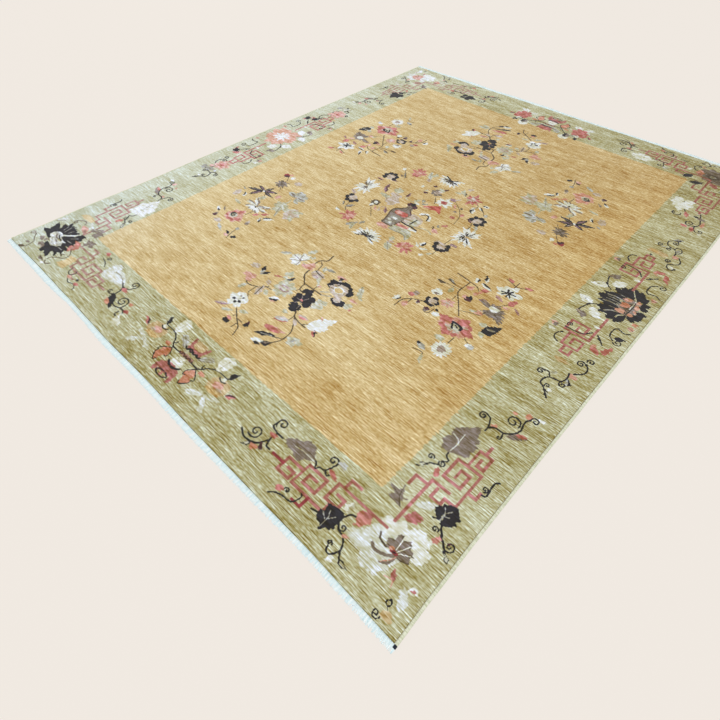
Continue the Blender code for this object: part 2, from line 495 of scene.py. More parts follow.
BRANCH_SPRAY = """
from -100,-1290
line twig 8 95,635 102,604 100,584 82,569 70,552 | 6 70,554 72,522 | 8 89,478 91,446 102,424 136,392
 150,380 | 7 148,384 154,352 164,338 192,332 | 4 160,338 154,320 | 5 88,556 105,544 112,526 118,502
 130,484 175,470 | 6 145,385 200,384 265,384 | 4 207,386 207,410 | 6 -78,202 -64,192 -46,190 -10,204
 16,222 38,248 | 5 16,222 38,238 66,242 | -4,202 -4,156 20,132 | 6 45,44 75,22 102,2 143,-24 158,-44
 170,-74 | 5 105,2 138,2 | 126,-16 124,-50 | 4 76,18 74,0 | 7 263,222 284,196 321,185 368,181 | 5 344,183
 358,200 374,208 | 272,208 280,186 277,148 | 6 284,194 315,158 340,126 350,94 348,50 325,8 | 5 350,64
 328,54 305,42
line grey 5 265,384 290,398 305,414 | 244,396 270,418 286,432
petals ivory/sage 6,490 21 84:68 104:58 122:76 142:62 163:70 178:80 203:70 224:54 243:58 272:42
line umber 5 2,490 -26,498 -56,502 | 0,492 -16,510 -22,534 | 4,492 20,518 | 0,488 -24,476 -50,458 | 2,486
 8,452
leaf sage -2,586 62 34 64 | 36,552 34 18 115
edged sage/grey -104,482 70 24 218
line grey 4 20,492 44,482
area blush 66,530 94,506 92,478 62,466 28,472 44,494
line salmon 5 26,482 50,478 88,478
spot lilac 148,472 84 56 -10
line black 6 114,490 146,482 180,478
line purple 5 124,454 142,462 166,458
leaf sage 184,444 60 20 -50
faded grey 170,542 60 22 8
leaf sage/grey 140,526 46 22 -60 | 384,538 86 30 122
faded blush 248,538 60 34 10
leaf sage 402,504 70 24 152
leaf blush 408,458 52 18 8
leaf sage 412,416 52 34 60 | 70,346 62 26 58
spot rose 433,402 14 12
bud ivory/blush 207,420 30 16 180
spot black/black 254,532 26 24
leaf lilac 262,516 24 14 -60 | 8,270 52 22 140
petals sage 305,328 30 60:44 130:40 200:36 260:46 330:36 | 48,364 26 100:44 60:30 150:34 250:30
leaf black 78,360 46 16 62
leaf rose 14,330 48 14 28
leaf mist -78,310 46 22 100
leaf black -85,322 46 22 112
leaf grey -58,298 46 20 62
leaf black -48,306 44 20 66
faded lilac -134,305 66 44 10
faded blush -95,238 84 44 10 | -80,212 54 30 0
leaf lilac/black 22,200 84 34 104
leaf sage 56,212 46 28 140 | 90,52 48 24 10 | 226,187 40 24 0
leaf sage/grey -63,164 56 28 74
edged ivory/black 124,208 56 34 30
leaf blush 128,192 36 10 25 | 290,84 96 26 16
edged lilac/purple -32,18 76 22 28
leaf sage/grey 20,6 60 24 35
bud plum/black 164,12 42 24 100
leaf salmon 72,-18 38 16 0
spot black 72,-38 46 24 | 192,354 34 32 30 | 214,366 26 34 | 222,338 46 38 60 | 258,326 42 38
edged lilac/rose 318,218 66 26 12
leaf lilac 312,170 56 18 -35
edged lilac/mist 252,144 74 34 25
line rose 6 222,124 250,128 282,148
leaf rose 266,73 92 34 6
leaf black 272,32 116 22 28
line grey 4 250,22 300,44
petals sage 394,86 26 20:46 70:36 130:34 180:42 230:34 300:36
leaf grey 388,90 40 12 60
leaf ivory 280,-16 76 28 22 | 388,228 70 30 60
leaf black 316,-2 54 26 42
leaf umber 314,0 36 10 42
leaf black 284,-30 40 14 10
plume ivory 364,192 444,308 60 | 362,186 456,246 50
edged black/rose 426,182 42 24 -55
leaf blush 386,272 34 9 -50
plum sage/sage 102,290 60 9 0
spot lilac 104,290 66 50
spot sage 105,289 30 20
line purple 5 76,300 94,306 114,304 | 84,278 104,272 126,280 132,294
spot black 194,306 42 40 | 200,278 46 36 | 230,300 56 50 | 265,290 42 52 | 218,246 40 44 | 246,240 40 50 |
 232,218 34 20 | 374,406 40 46 | 356,388 52 28 | 328,398 30 26 | 241,494 42 36 | 248,468 48 36 -20 |
 278,512 34 26 20 | 305,521 46 28 | 334,510 32 24 -30
line umber 3.5 226,290 202,322 | 226,290 242,322 | 222,288 196,290 | 228,288 244,260 250,238 | 224,286
 212,260
spot rose 226,290 16 12
spot lilac 340,418 44 52 20
spot grey 343,400 14 10
spot black 356,482 44 48 | 252,496 40 34
area lilac 256,484 278,502 306,510 336,500 346,474 346,444 332,422 298,422 266,436 250,460
line black 6 272,490 280,500
line umber 4 260,454 278,460
spot ivory 302,464 60 50
spot gold 303,462 46 37
plum ivory/ivory 2,86 54 5 100
spot ivory 0,110 76 44
spot grey -10,110 14 12
spot black 14,108 14 12 | -16,80 20 15 20 | 20,78 20 15 -20 | 3,66 18 16
line grey 3.5 2,88 12,100 | 2,86 -10,80
"""

LILY_SPRAY = """
from -770,-850
line twig 4 -5,572 18,540 32,520 | 58,448 80,418 | 5 140,182 142,150 138,108 | 4 -18,85 8,58 | 5 214,-20
 220,-55 236,-98 | 4 226,-80 210,-68 | 50,330 70,302 86,278
line sage 7 210,398 222,350 240,290 265,214
bud crimson/plum -20,568 46 40 130
leaf coral 2,588 28 22 130
leaf ivory 32,567 38 26 80 | -36,244 46 20 118 | 270,170 72 20 40
faded lilac 110,544 60 50 20 | -90,228 48 78 10 | 64,-30 60 38 0
petals mist/sage 214,432 36 170:80 109:75 77:70 41:74 7:68 322:66
leaf grey 198,476 56 14 96
leaf umber 180,440 56 13 -22 | 250,438 54 12 4
leaf grey 236,470 44 18 50 | 226,418 40 9 -48
line grey 6 210,450 204,424
spot lilac 210,432 16 14
petals sage 222,302 30 20:56 60:50 100:60 150:66 170:50 250:60 290:64
leaf grey 182,310 40 9 30 | -96,290 36 12 150
faded sage 230,304 120 56
line grey 6 218,310 240,260 260,222
faded blush 130,362 36 44 0
leaf black -44,250 44 12 120
leaf sage -6,166 74 20 -12 | 70,290 60 30 60
leaf rose 218,190 54 22 45 | 180,153 50 18 42
leaf black 258,176 66 13 42
leaf ivory 234,136 44 18 112 | -30,46 54 20 150
leaf black 240,132 46 12 110 | -20,38 34 13 150 | 199,-62 34 20 160
leaf umber -2,68 40 12 140
bud umber/plum 4,2 38 28 90
leaf mist 124,-60 74 22 -32
bud lilac/umber 211,70 48 26 100
spot grey 214,-6 26 26 0
faded blush 207,-83 36 24 0
leaf black 257,-67 36 28 20
faded sage 318,305 130 84
faded lilac 324,294 90 130
leaf sage 340,330 80 30 30 | 350,260 70 26 -40
petals umber 34,474 17 12:52 48:48 88:40 128:48 164:52 205:50 248:44 292:46 332:48
spot twig 12,500 24 15 -20 | 28,446 30 14 | 70,452 18 12 -40 | 34,476 16 14
line twig 5 32,474 54,488 | 32,474 6,498 | 32,472 64,452 | 32,474 22,446
petals ivory/umber 118,210 18 143:94 180:98 216:76 245:54 270:48 298:54 324:76 359:88 34:92
leaf umber 102,238 70 10 128 | 140,228 60 10 22
spot black 118,202 14 14
line umber 4 118,210 130,250
blade black 18,348 46,412 25 | 18,350 -50,373 23 | 18,350 106,389 25 | 22,346 116,331 23 | 14,344 -90,302
 26 | 12,342 -28,258 28
line taupe 5 22,358 36,390
line purple 6 8,356 -30,366 | 7 32,354 76,376
line umber 4 36,346 86,336 | 5 -6,340 -56,318
line purple 8 6,326 -14,286
spot ivory 18,346 16 16
petals blush 100,62 50 84:78 128:66 176:64 222:62 262:56 308:66 352:72 34:56
petals rose 100,62 34 90:74 140:60 200:58 250:54 300:60 344:64
faded blush 94,64 84 66
faded sage 90,64 56 50
curl black 7 88,64 19 80 1.3
leaf black 72,74 34 16 62
"""

DAISY_SPRAY = """
from 720,-690
line twig 5 80,525 80,478 | 18,510 52,500 80,490 | 150,518 108,500 80,488 | 7 -182,375 -140,370 -97,364 |
 5 -97,364 -55,356 -28,332 | 6 -97,364 -101,275 -89,245 -58,206 -24,160 -1,129 | 4 -92,240 -88,200 |
 -190,305 -145,294 -108,298 | -220,274 -160,276 -108,282 | -30,155 25,182 70,198 | 6 -174,94 -209,79
 -235,60 -259,29 -260,-25 | 4 -228,64 -228,30 | -110,84 -114,50 -130,38 | 5 66,0 64,-45 | 4 100,30 138,8 |
 -28,-172 15,-165 28,-185 | 135,370 115,340 92,305
leaf rose 42,516 44 20 160 | 138,520 50 20 20
leaf ivory -48,434 52 22 118 | -83,398 46 22 125
leaf black -57,443 52 15 120 | -75,402 34 11 120
leaf ivory -16,386 72 20 -12 | -288,28 46 26 80 | 138,4 34 28 90
leaf black -20,393 64 11 -12
leaf rose -8,359 46 28 30 | 136,376 60 36 70
leaf blush/rose -74,328 44 28 60
leaf blush -26,312 42 20 80
leaf old_rose 70,358 60 22 -30
leaf blush 130,326 44 18 20
leaf old_rose/purple 178,338 50 16 -35
edged grey/twig -164,306 52 22 -20
leaf twig -201,268 50 16 0
leaf sage -132,250 46 26 100
bud black/plum -34,260 48 34 90
faded blush -60,258 26 26 0 | 52,208 44 26 10 | -234,18 36 44 0
leaf sage 28,202 40 16 30
blade black 130,110 188,200 50
spot black 156,138 56 42 40
leaf grey 160,154 48 12 20
leaf sage 112,158 36 34 90 | 142,98 46 30 -30 | 32,-200 66 16 -62
bud umber/plum -194,68 30 18 -90 | -138,58 40 30 -90
spot ivory -86,62 36 34 0 | 80,426 60 48
leaf black -94,86 26 14 0 | -276,26 34 11 80
spot taupe -238,112 32 34 0
spot rose -251,90 34 26
leaf mist 152,0 36 26 70
faded sage 18,-42 56 34 0
edged mist/grey -12,-136 58 30 160
spot black -30,-130 18 16 0
leaf coral -20,335 20 16 0
petals ivory 80,426 36 73:70 8:74 322:56 224:58 182:68 132:56 | -168,182 19 14:30 46:36 78:40 108:44
 140:38 176:32 214:30
line black 11 76,426 68,444 | 84,428 92,444 | 8 76,422 48,414 | 86,424 116,428 | 74,418 58,398 | 7 86,416
 102,398 | 6 82,412 84,390
spot black 80,424 20 13
leaf purple 26,292 54 26 8
petals taupe 88,266 26 156:76 110:52 70:54 20:66 -30:92 -70:56 -110:56
petals umber 88,266 15 164:84 148:62 118:50 86:50 58:54 34:62 14:68 -4:78 -18:88 -28:100 -38:104 -50:70
 -68:52 -88:50 -108:56 -128:62
line twig 5 112,250 142,234 | 80,244 70,228 | 112,270 142,266
area ivory 70,286 80,294 102,294 114,284 112,266 94,256 76,262 68,274
leaf umber -164,182 30 18 20
plum blush/lilac -88,160 34 6 0
spot black -142,145 40 24 | -174,124 26 34 | -122,122 26 30 | -164,100 32 22 | -140,98 36 22
faded lilac -148,122 50 42
faded blush 28,58 180 124
plume rose 32,65 56,138 60 | 48,78 98,98 42 | 14,66 -70,76 50 | 8,48 -40,22 38 | 18,38 8,-18 52 | 42,40
 58,-2 36 | 52,64 126,54 50
faded lilac 24,44 90 50 -14
leaf lilac 56,74 50 18 30
leaf blush -4,56 50 18 -20
line blush 6 50,84 70,96 | 2,50 -20,50 | 32,30 38,2
faded sage 30,60 72 50
line black 12 4,78 32,79 56,68 56,56 | 10 6,70 22,42 | 7 24,68 40,58
daisy ivory/taupe 65,-94 50 14 0
"""

MEDALLION = """
from -350,-330
line twig 4 50,620 82,580 110,552 | 28,434 12,400 | 600,615 622,585 618,570 | 650,585 680,555 695,535 |
 690,428 702,390 706,350 | 698,218 695,165 | 700,85 702,50 685,30 | 50,105 65,55 88,30 | 5 385,495 410,455
 420,435 | 412,452 428,470 | 4 500,535 535,510 575,470 605,425 622,350 | 180,148 205,120 234,86
line sage 5 190,725 208,680 230,640 | 7 496,170 530,192 565,194 590,178 | 5 270,385 264,362 290,360
 320,366
leaf sage/grey 210,675 110 34 118
leaf sage 232,702 60 26 100 | 470,660 60 26 110
leaf lilac/purple 236,622 38 28 -60 | -12,204 60 26 -35
edged sage/twig 490,648 52 22 118
leaf lilac 488,712 40 24 60
leaf sage 458,630 44 22 20 | 462,4 56 30 110
leaf grey 210,-42 84 26 60
leaf sage/grey 224,-62 70 28 -64
leaf grey 244,4 50 18 85
leaf lilac/blush 474,-22 40 24 30 | 662,152 50 26 20
leaf sage/grey 488,-62 80 44 -52
spot ivory 40,626 18 34 30 | 252,542 14 34 30 | 662,2 24 24
edged grey/twig 88,570 84 16 128 | 28,74 50 14 120
leaf umber 78,550 34 14 150
spot ivory/black 658,618 30 24
edged black/ivory 646,618 22 18 80 | 650,576 48 20 -36
edged ivory/grey 612,554 50 18 60
edged black/ivory 622,530 56 30 105
leaf mist 706,540 40 20 110 | 730,402 50 24 120
edged purple/plum 668,436 54 18 -32 | 96,396 60 22 96
edged blush/plum 8,427 60 20 4
edged plum/purple 80,474 56 20 8
leaf plum 66,150 44 18 -12
leaf purple/lilac 740,184 54 24 8
edged grey/umber 78,78 62 26 60
edged ivory/sage 46,4 40 20 150
edged ivory/black 612,82 46 30 80
leaf ivory 592,56 56 14 138 | 642,48 54 16 24
leaf sage 688,38 34 16 50
rose rose/blush 138,648 19 128:60 172:66 108:74 262:68 235:60 288:60 75:66 20:56 | 142,2 19 102:58 62:50
 146:60 202:66 262:62 304:62 340:44 | 556,0 19 104:44 52:52 350:64 318:70 284:72 222:62 190:50
rose rose/lilac 558,630 19 92:72 52:46 14:66 330:56 298:62 266:78 150:54 185:44
crown black/lilac 36,492 50 -14 222 6 | 702,462 48 -66 186 6 | 32,150 48 146 348 5 | 698,132 48 172 404 6
petals ivory 340,716 19 170:88 192:84 214:88 234:86 254:76 276:74 296:80 318:88 340:78 8:66 24:88 |
 345,-75 20 196:92 178:86 156:94 128:82 104:76 84:74 62:78 42:90 22:92 4:92 338:96 | 2,310 21 124:106
 98:92 62:92 40:80 16:58 346:54 322:74 298:100 272:94 248:98 220:84 196:60 | 740,296 21 130:94 110:88
 84:92 56:96 36:78 166:64 200:68 222:86 244:96 270:78 300:100 320:106
petals twig 340,716 10 184:64 200:66 224:56 244:48 300:50 318:64
petals black 340,716 12 153:76 268:40 342:66 34:56 | 345,-75 8 205:74 167:62 142:54 54:40 32:60 12:54
 345:74
spot black 338,716 36 22
petals twig 345,-75 7 186:56 94:40 116:42 | 2,310 8 112:66 84:52 136:60 310:56 284:50 262:46 | 740,296 8
 120:54 68:74 42:50 284:54 232:52 180:40
spot black 345,-76 34 18
petals umber 2,310 7 50:42 150:50 234:44
petals black 740,296 9 310:80 96:42 256:58 212:46
faded lilac 220,288 100 110 20
faded sage 178,400 70 60
faded lilac 200,350 90 50
faded sage 150,306 80 40
line grey 5 152,312 170,290 182,286
edged plum/purple 114,358 74 26 -52 | 254,406 58 22 92
leaf purple/plum 262,184 60 20 -54
line purple 6 220,198 238,208 254,198
leaf lilac 222,170 56 16 120
leaf blush 200,162 56 14 130
leaf grey/sage 360,412 46 20 -60
leaf sage 328,392 44 24 70
leaf grey 386,392 50 16 40
leaf ivory 344,366 50 20 0
area red 386,372 410,392 436,420 462,436 480,422 508,368 470,380 434,366
leaf rose 434,390 60 14 34
leaf blush 416,372 60 14 20
faded purple 478,546 54 40
leaf lilac 498,566 44 16 60
leaf sage 454,534 24 16 90
spot plum 310,596 26 22 | 386,604 22 24 | 306,498 30 20 10
leaf sage 298,522 34 14 60
spot twig 566,502 16 26 30 | 162,209 58 55
spot umber 554,452 22 20
leaf blush 522,496 44 18 120
leaf ivory 506,486 22 10 120 | 158,178 34 20 80
leaf salmon 608,450 34 24 90 | 600,298 44 20 54
spot salmon 578,392 34 28
leaf grey 576,270 30 14 110
leaf blush/salmon 590,218 60 34 -20
leaf twig 562,235 34 12 -60
faded blush 342,64 92 50
spot sage 364,580 40 44
crown umber/lilac 360,544 38 130 340 5
spot taupe 358,546 30 30
spot ivory 162,210 28 27
leaf umber 168,164 20 14 20
petals ivory 456,484 25 90:56 40:54 0:54 -45:58 -90:48 -135:54 150:52 190:50
spot rose 456,482 44 36 20
spot crimson 454,486 20 18
"""

VASE = """
from -40,-170
area umber 14,160 16,126 -18,88 -30,50 -14,5 -2,-35 6,-74 74,-74 82,-35 92,5 100,50 88,88 60,126 56,160
spot plum 12,170 30 40
spot black 32,180 36 34
spot plum 54,164 30 38
line twig 7 22,148 18,126 4,104 | 48,148 52,126 68,104 | 5 36,144 34,108 | 9 10,108 -18,86 -27,50 -13,5
 -1,-35 7,-72
line plum 9 66,108 87,86 95,50 89,5
line twig 9 89,5 80,-35 73,-72 | 8 8,-73 72,-73
area rose -4,78 -4,54 18,40 60,38 82,54 76,78 50,86
area blush 6,74 6,54 28,48 38,62 32,76
area red 46,78 52,44 74,50 74,74
area grey 2,20 12,-26 20,-62 60,-62 68,-26 78,20 40,28
area ivory 24,14 30,-4 52,-4 52,12
spot sage 22,-24 22 24
spot chalk 46,-44 20 20
line umber 7 4,-8 32,-14 54,-20 84,0 | 5 10,-44 40,-30 66,-48
"""

SCREEN = """
from 50,-260
area lilac 0,198 42,194 86,176 86,92 4,92
block sage 30,94 84,168 | -4,60 90,74
line black 9 54,162 50,136 48,106
block ivory 68,64 120,76
line black 11 4,90 40,86 68,88 112,80
area blush -8,54 0,74 34,76 62,72 72,54 46,46 8,40
line rose 8 -4,56 10,50 26,64 | 28,52 44,66 66,56
area sage -16,-2 -12,38 46,48 90,56 114,34 128,0 120,-28 98,-8 70,0 20,-6
line mist 8 -6,24 50,28 90,24 110,-2
line grey 7 -14,-4 20,-2 68,2 92,0 120,-28
area ivory 22,216 34,242 56,254 80,248 100,230 114,198 100,198 86,222 66,238 48,234 38,218
line twig 7 40,222 54,232 50,240
line black 8 60,240 78,236 88,216 94,194
"""


# ---------------------------------------------------------------- the border

END_FRETS = """
from 780,-1650
fret brick 348,113 132,113 132,41 188,41 188,80 156,80 | 198,151 156,151 156,113 | 159,41 159,0 5,0 5,89
 94,89 94,27 34,27 34,62 68,62 | 5,60 -72,60 -72,0 -14,0 -14,30 -45,30
fret crimson -72,30 -127,30 | 91,0 91,-42 53,-42
"""

SIDE_FRETS = """
from 1160,-1330
fret brick -27,-170 -27,32 45,32 | -27,7 -79,7 -79,-34 | 7,16 7,-22 47,-22 47,5 90,5 90,162 -8,162 -8,71
 61,71 61,131 25,131 25,96 | 90,77 124,77 124,104 | 30,162 30,244 81,244 81,185 53,185 53,214 | 53,244
 53,284
"""

END_VINES = """
from 520,-1660
line black 7.5 46,132 46,115 70,106 112,104 | 80,100 80,70 92,42 112,40 | 78,60 62,30 36,4 20,-14 | -36,26
 0,8 40,15 64,32 | 6.5 242,114 270,124 286,104 296,118 318,124 330,150 | 318,124 336,112 342,120 | 235,-72
 252,-56 280,-46 318,-40 332,-8 322,6 | 385,-8 405,-2 430,5
curl black 6.5 68,144 25 240 -1.25 | 16,54 30 -130 1.4 | 314,170 22 -50 1.2 | 5.5 278,-22 11 200 -1.1
leaf rose 78,90 42 22 20 | 352,130 56 22 -20 | 254,-34 38 24 10
blade black/sage 46,12 8,-22 16
leaf plum 78,26 36 24 110
leaf coral 60,4 34 24 40
faded mist 352,182 46 30 0
edged ivory/sage 478,88 48 30 100
"""

CORNER_VINES = """
from 1030,-1750
line black 6.5 6,168 -12,160 -24,140 -26,118 -12,98 18,88 36,68 46,46 64,24 | 7.5 220,350 232,330 254,306
 280,284 | 6.5 186,346 206,354 222,354 | 2,36 8,22 22,18 34,32 42,50 | 4 251,57 244,45 255,37 261,48
 252,58 | 255,37 262,29 | 4.5 260,9 256,-4 248,-12 238,-9 233,2 238,9 247,5 247,-2 240,-3
blade black/sage 282,284 316,250 16 | 56,32 94,18 16
curl black 5.5 0,46 10 0 1.1 | -2,110 14 200 1.2 | 5 286,304 19 -100 1.3 | 5.5 216,318 12 0 1.2
spot plum 280,308 12 12
leaf salmon 24,176 74 50 -96 | 241,296 44 20 80
leaf brick 28,202 36 34 -90 | 213,114 42 18 112
leaf blush 22,96 28 14 30
leaf ivory 36,12 30 22 60
line blush 4 192,93 212,100 222,96 228,82
area chalk 264,114 252,98 260,80 272,60 288,46 296,70 286,90 278,108
spot ivory 288,119 28 28
spot brick 288,119 14 14
area yellow 250,22 270,28 292,20 286,6 266,4 252,10
plume brick 116,276 168,320 46
area umber 92,290 77,311 91,338 69,330 47,374 43,344 4,342 38,321 29,302 61,302
line twig 3.5 86,296 60,324 50,352 | 60,324 24,336
"""

SIDE_VINES = """
from 1200,-1230
line black 6.5 -94,72 -88,44 -70,30 -88,12 | -88,-6 -116,-22 | 112,86 98,66 103,12 88,4
curl black 5.5 -80,6 14 180 1.3 | -128,2 13 0 1.2 | 86,30 13 -90 1.3 | 6.5 7,340 30 -20 1.35 | 68,398 18
 190 -1.2 | -92,286 18 60 1.3 | 5.5 4,242 11 60 -1 | 6.5 57,792 20 20 1.35 | 84,830 17 220 -1.2 | 54,635
 16 120 1.3 | -47,642 17 40 1.3 | 5.5 12,590 12 240 -1.2
leaf rose -75,-32 50 22 120
blade black/sage -114,-24 -148,-70 16
leaf umber 52,288 84 30 32
leaf rose 62,304 44 20 20
leaf coral -32,274 28 22 60 | 36,402 36 26 110
spot coral -9,382 20 16 0
faded ivory 86,418 32 22 0
faded blush 64,702 44 30 0
edged mist/black 62,662 46 26 110
spot ivory 30,574 22 18 0
leaf mist -4,674 30 18 60
faded yellow -14,756 76 30 0
blade black/sage 16,566 42,528 15
line black 7.5 52,392 40,368 48,325 36,295 6,270 -28,268 -48,250 | 6.5 -84,302 -64,290 -48,250 -50,230 |
 6,270 12,252 | 7.5 76,806 92,780 90,750 62,720 | 46,710 52,678 40,648 0,638 -16,620 -18,590 6,570 38,532
 | 6.5 -36,660 -20,660 -4,638
"""

NEAR_RIGHT_LEAVES = """
from 930,-1680
petals umber 182,562 54 80:124 52:84 28:74 -18:64 -48:50 -122:62 -160:60 122:76 100:92 | -206,142 40 60:52
 100:46 -70:46 -110:44 0:60 30:50
line chalk 4 178,520 182,562 168,580 144,588 | 182,562 178,614
plume umber -190,144 -290,132 60
line sage 4 -146,140 -200,142 -240,134
petals black 310,304 46 64:60 96:48 28:60 -6:52 -30:44 150:40 196:30
line grey 3 310,282 308,312 294,334 | 308,312 324,336 | 310,302 332,314
area black 8,70 38,78 70,74 76,32 72,2 54,0 44,-20 30,-4 14,0 0,18 -2,34 12,40
line grey 3 38,-10 38,28 26,54 | 38,24 56,48 | 38,16 10,34
plume chalk 216,268 276,318 34
"""

NEAR_LEFT_LEAVES = """
from -1280,-1690
petals ivory 186,560 54 94:126 70:92 112:94 38:80 146:80 -30:70 -142:70 -80:50
line grey 4 184,530 182,580 174,630
line sage 4 184,572 210,600
area gold -10,294 6,316 44,326 90,320 96,294 50,288 0,286 | 300,78 350,86 360,40 364,6 340,-2 294,0 306,38
area chalk 536,206 552,224 584,220 596,202 620,198 660,190 692,172 712,144 684,130 640,122 580,116 542,122
 530,160
spot ivory 600,150 90 30
line grey 4 590,178 630,180 670,168 708,144
curl black 6.5 745,193 25 -60 1.25 | 5.5 694,86 13 60 1.1 | 6.5 808,90 34 -30 1.45
line black 6.5 688,160 713,147 745,152 760,166 | 7.5 713,147 728,122 730,88 | 5.5 702,76 728,84
leaf rose 742,138 48 20 -8
blade black 718,94 804,20 36
leaf coral 750,40 56 22 -32
line black 6.5 760,68 794,50 828,56 842,74 | 836,62 866,60 880,40 872,20 854,26 854,44 | 5.5 440,186
 474,178 505,158 | 398,42 414,12 440,6 452,28 442,42
faded coral 857,108 34 22
leaf rose 886,68 40 16 -10
leaf crimson 878,62 24 10 -10
area ivory 872,52 892,30 930,8 930,-8 896,-12 878,-4 874,22
leaf plum 1010,110 40 16 -24
leaf rose 988,120 36 14 -12 | 430,222 40 24 -10
curl black 5.5 466,204 13 0 1.2
faded blush 447,-2 40 22
spot black 505,12 20 15
line black 5.5 458,-16 485,-27 515,-16 540,-22 555,-40
leaf rose 531,-8 38 20 10
line umber 7.5 32,262 54,278 74,276 90,262
leaf chalk 130,284 60 16 -30 | 144,262 50 12 -40 | -42,216 64 22 32 | -60,192 60 18 40
petals umber 206,270 26 10:60 50:44 90:40 -30:52 -70:34 180:52 150:36 | 278,184 22 60:46 100:38 150:50
 -160:36 10:34
line sage 4 170,276 210,290
leaf blush 130,240 76 38 -18
leaf old_rose 152,224 56 18 -32
curl twig 6.5 28,240 16 90 1.3
line umber 4 -70,170 -30,210 | 6.5 276,180 262,156
area salmon 190,156 220,162 246,160 258,142 272,128 260,108 246,80 224,96 212,114 224,130 214,142
leaf old_rose 240,116 50 14 -60
line twig 5.5 250,102 280,84 294,60 284,38 256,20 230,-4 236,-22 | 262,40 252,54 268,60
edged twig/umber 200,-40 56 20 -8
line twig 7.5 236,-32 246,-44 264,-42 278,-24
spot ivory 240,-54 20 20
curl umber 6.5 -52,28 16 0 1.2
line twig 5 -30,40 0,14 28,0 | 5.5 30,0 40,-28 44,-58
petals umber/taupe 64,30 20 90:38 162:54 -22:56 -70:34
leaf umber 12,-26 36 14 10
leaf twig 24,-66 50 20 30
"""

FAR_RIGHT_LEAVES = """
from 1010,1450
petals ivory 94,-300 50 -86:118 -60:86 -112:88 -30:72 -150:72 30:62 150:62 | -286,62 44 178:96 140:70
 -140:70 60:50 -60:50 0:50
plume black 20,64 -18,0 46 | 10,60 0,8 40 | 98,-8 34,-42 38
"""

FAR_RIGHT_VINES = """
from 1190,550
line black 6 -84,608 -65,550 -42,500 | 5 -94,572 -72,570 -52,582
leaf rose -27,474 60 26 -64
leaf sage 26,512 40 24 60
line black 6.5 34,528 46,490 60,442 65,415 56,390 50,374 56,354 66,336 78,328 | 6 -94,466 -97,450 -86,436
 -66,435 -52,449 -53,466
leaf umber 54,476 64 26 -10
leaf black 26,484 30 18 0
curl black 6 88,348 15 250 1.2 | 6.5 20,398 30 -20 -1.35 | 5 -86,452 10 90 1
faded rose 2,356 44 26 0
leaf rose 44,344 56 26 100
faded blush 76,424 26 70 0
spot ivory 98,320 18 20
edged grey/black 38,190 52 24 48
line black 6.5 26,176 6,156 0,138 10,110 26,100 46,95 60,80 68,60 68,38 | 6 38,176 48,156 | 50,90 55,114
 72,118 85,102 88,88 80,70 68,60
curl black 6 35,150 15 20 -1.3 | -21,93 16 -60 -1.3
line grey 5 -12,77 14,92
curl black 6 23,78 14 80 -1.2 | 6.5 63,-25 16 -80 -1.3
leaf grey 72,90 34 20 80
faded blush 80,28 44 34 0
line black 6.5 95,32 110,6 113,-14 100,-35 80,-50 72,-62 75,-80 90,-95 106,-90
spot black 108,-80 15 18
spot ivory 90,-76 22 20
area yellow -54,-10 -50,20 -10,28 38,22 46,2 22,-14 -14,-6
spot gold -20,10 60 16
leaf black -25,-32 26 11 105
"""

FAR_LEFT_LEAVES = """
from -1240,1180
petals black 140,0 46 -94:110 -66:82 -120:84 -30:66 -150:66 90:40 | 550,328 44 4:92 40:66 -40:66 130:48
 -130:48
petals sage 255,460 46 -90:64 -60:60 -120:60 | 0,180 44 -80:58 -50:56 -110:50
"""

FADED_WOOLS = {"brick": "old_rose", "rose": "salmon", "salmon": "blush",
               "coral": "blush", "crimson": "old_rose"}


def corner(flip_across, flip_along, end_shift, vine_shift, side_shift, flower, leaves, wools=(),
           side_vines=SIDE_VINES):
    """One corner of the border: its lotus, and the near right one's frets and vines."""
    flips = (flip_across, flip_along)
    return [
        *flower,
        *rewooled([
            *moved(drawn(END_FRETS), *flips, end_shift),
            *moved(drawn(SIDE_FRETS), *flips, side_shift),
            *moved(drawn(side_vines), *flips, (end_shift + side_shift) / 2),
            *(moved(drawn(END_VINES + CORNER_VINES), *flips, vine_shift) if vine_shift else []),
        ], dict(wools)),
        *drawn(leaves),
    ]


MIDDLE_LINE = 35  # a long side's middle motifs mirror about this place along the rug
HALF_MIDDLE = """
from 1100,120
fret brick 118,55 118,241 7,241 7,165 87,165 87,220 50,220 50,190 | 36,241 36,332 110,332 110,271 66,271
 66,308 | 57,332 57,380 94,380 94,348
line black 6.5 10,265 -8,290 -4,320 20,336 | 0,225 40,226 80,216 108,180 | 172,225 150,198 132,180 |
 140,198 162,210 | 192,164 170,142 168,95 182,76 | 185,80 212,88 234,76 | -12,86 -2,45 16,5 40,-12 | 0,22
 10,8
curl black 5 214,164 20 150 -1.3 | 5.5 12,198 14 120 1.2
edged ivory/sage -38,274 36 24 20
bud blush/umber -44,238 40 30 200
leaf umber/lilac 6,94 56 28 30
leaf umber 22,100 54 32 76
area ivory 24,28 50,20 78,40 86,76 60,80 34,64 | -56,-30 -40,-4 -12,14 16,0 8,-22 -20,-36
spot grey -20,-12 10 10
spot ivory 106,136 26 18
leaf rose 162,276 66 30 30 | 204,242 76 26 -70
leaf blush 146,256 34 18 120
leaf blush/umber 222,44 34 26 20
"""

RIGHT_MIDDLE = """
from 1310,-190
edged black/black 4,4 50 26 20
leaf coral 14,135 28 24 40
"""

LEFT_MIDDLE = """
from -1250,370
maple black -54,2 70 66 120 | 4,25 80 60 60 | -40,-670 76 66 140
line grey 5 10,330 35,280 60,240
maple sage 24,298 60 60 120
leaf sage/grey 74,306 70 30 20
leaf grey 2,290 60 30 60 | 40,-942 80 36 10 | -14,-946 56 40 120
plum blush/rose 68,196 62 7 0 | 60,-860 56 7 0
"""


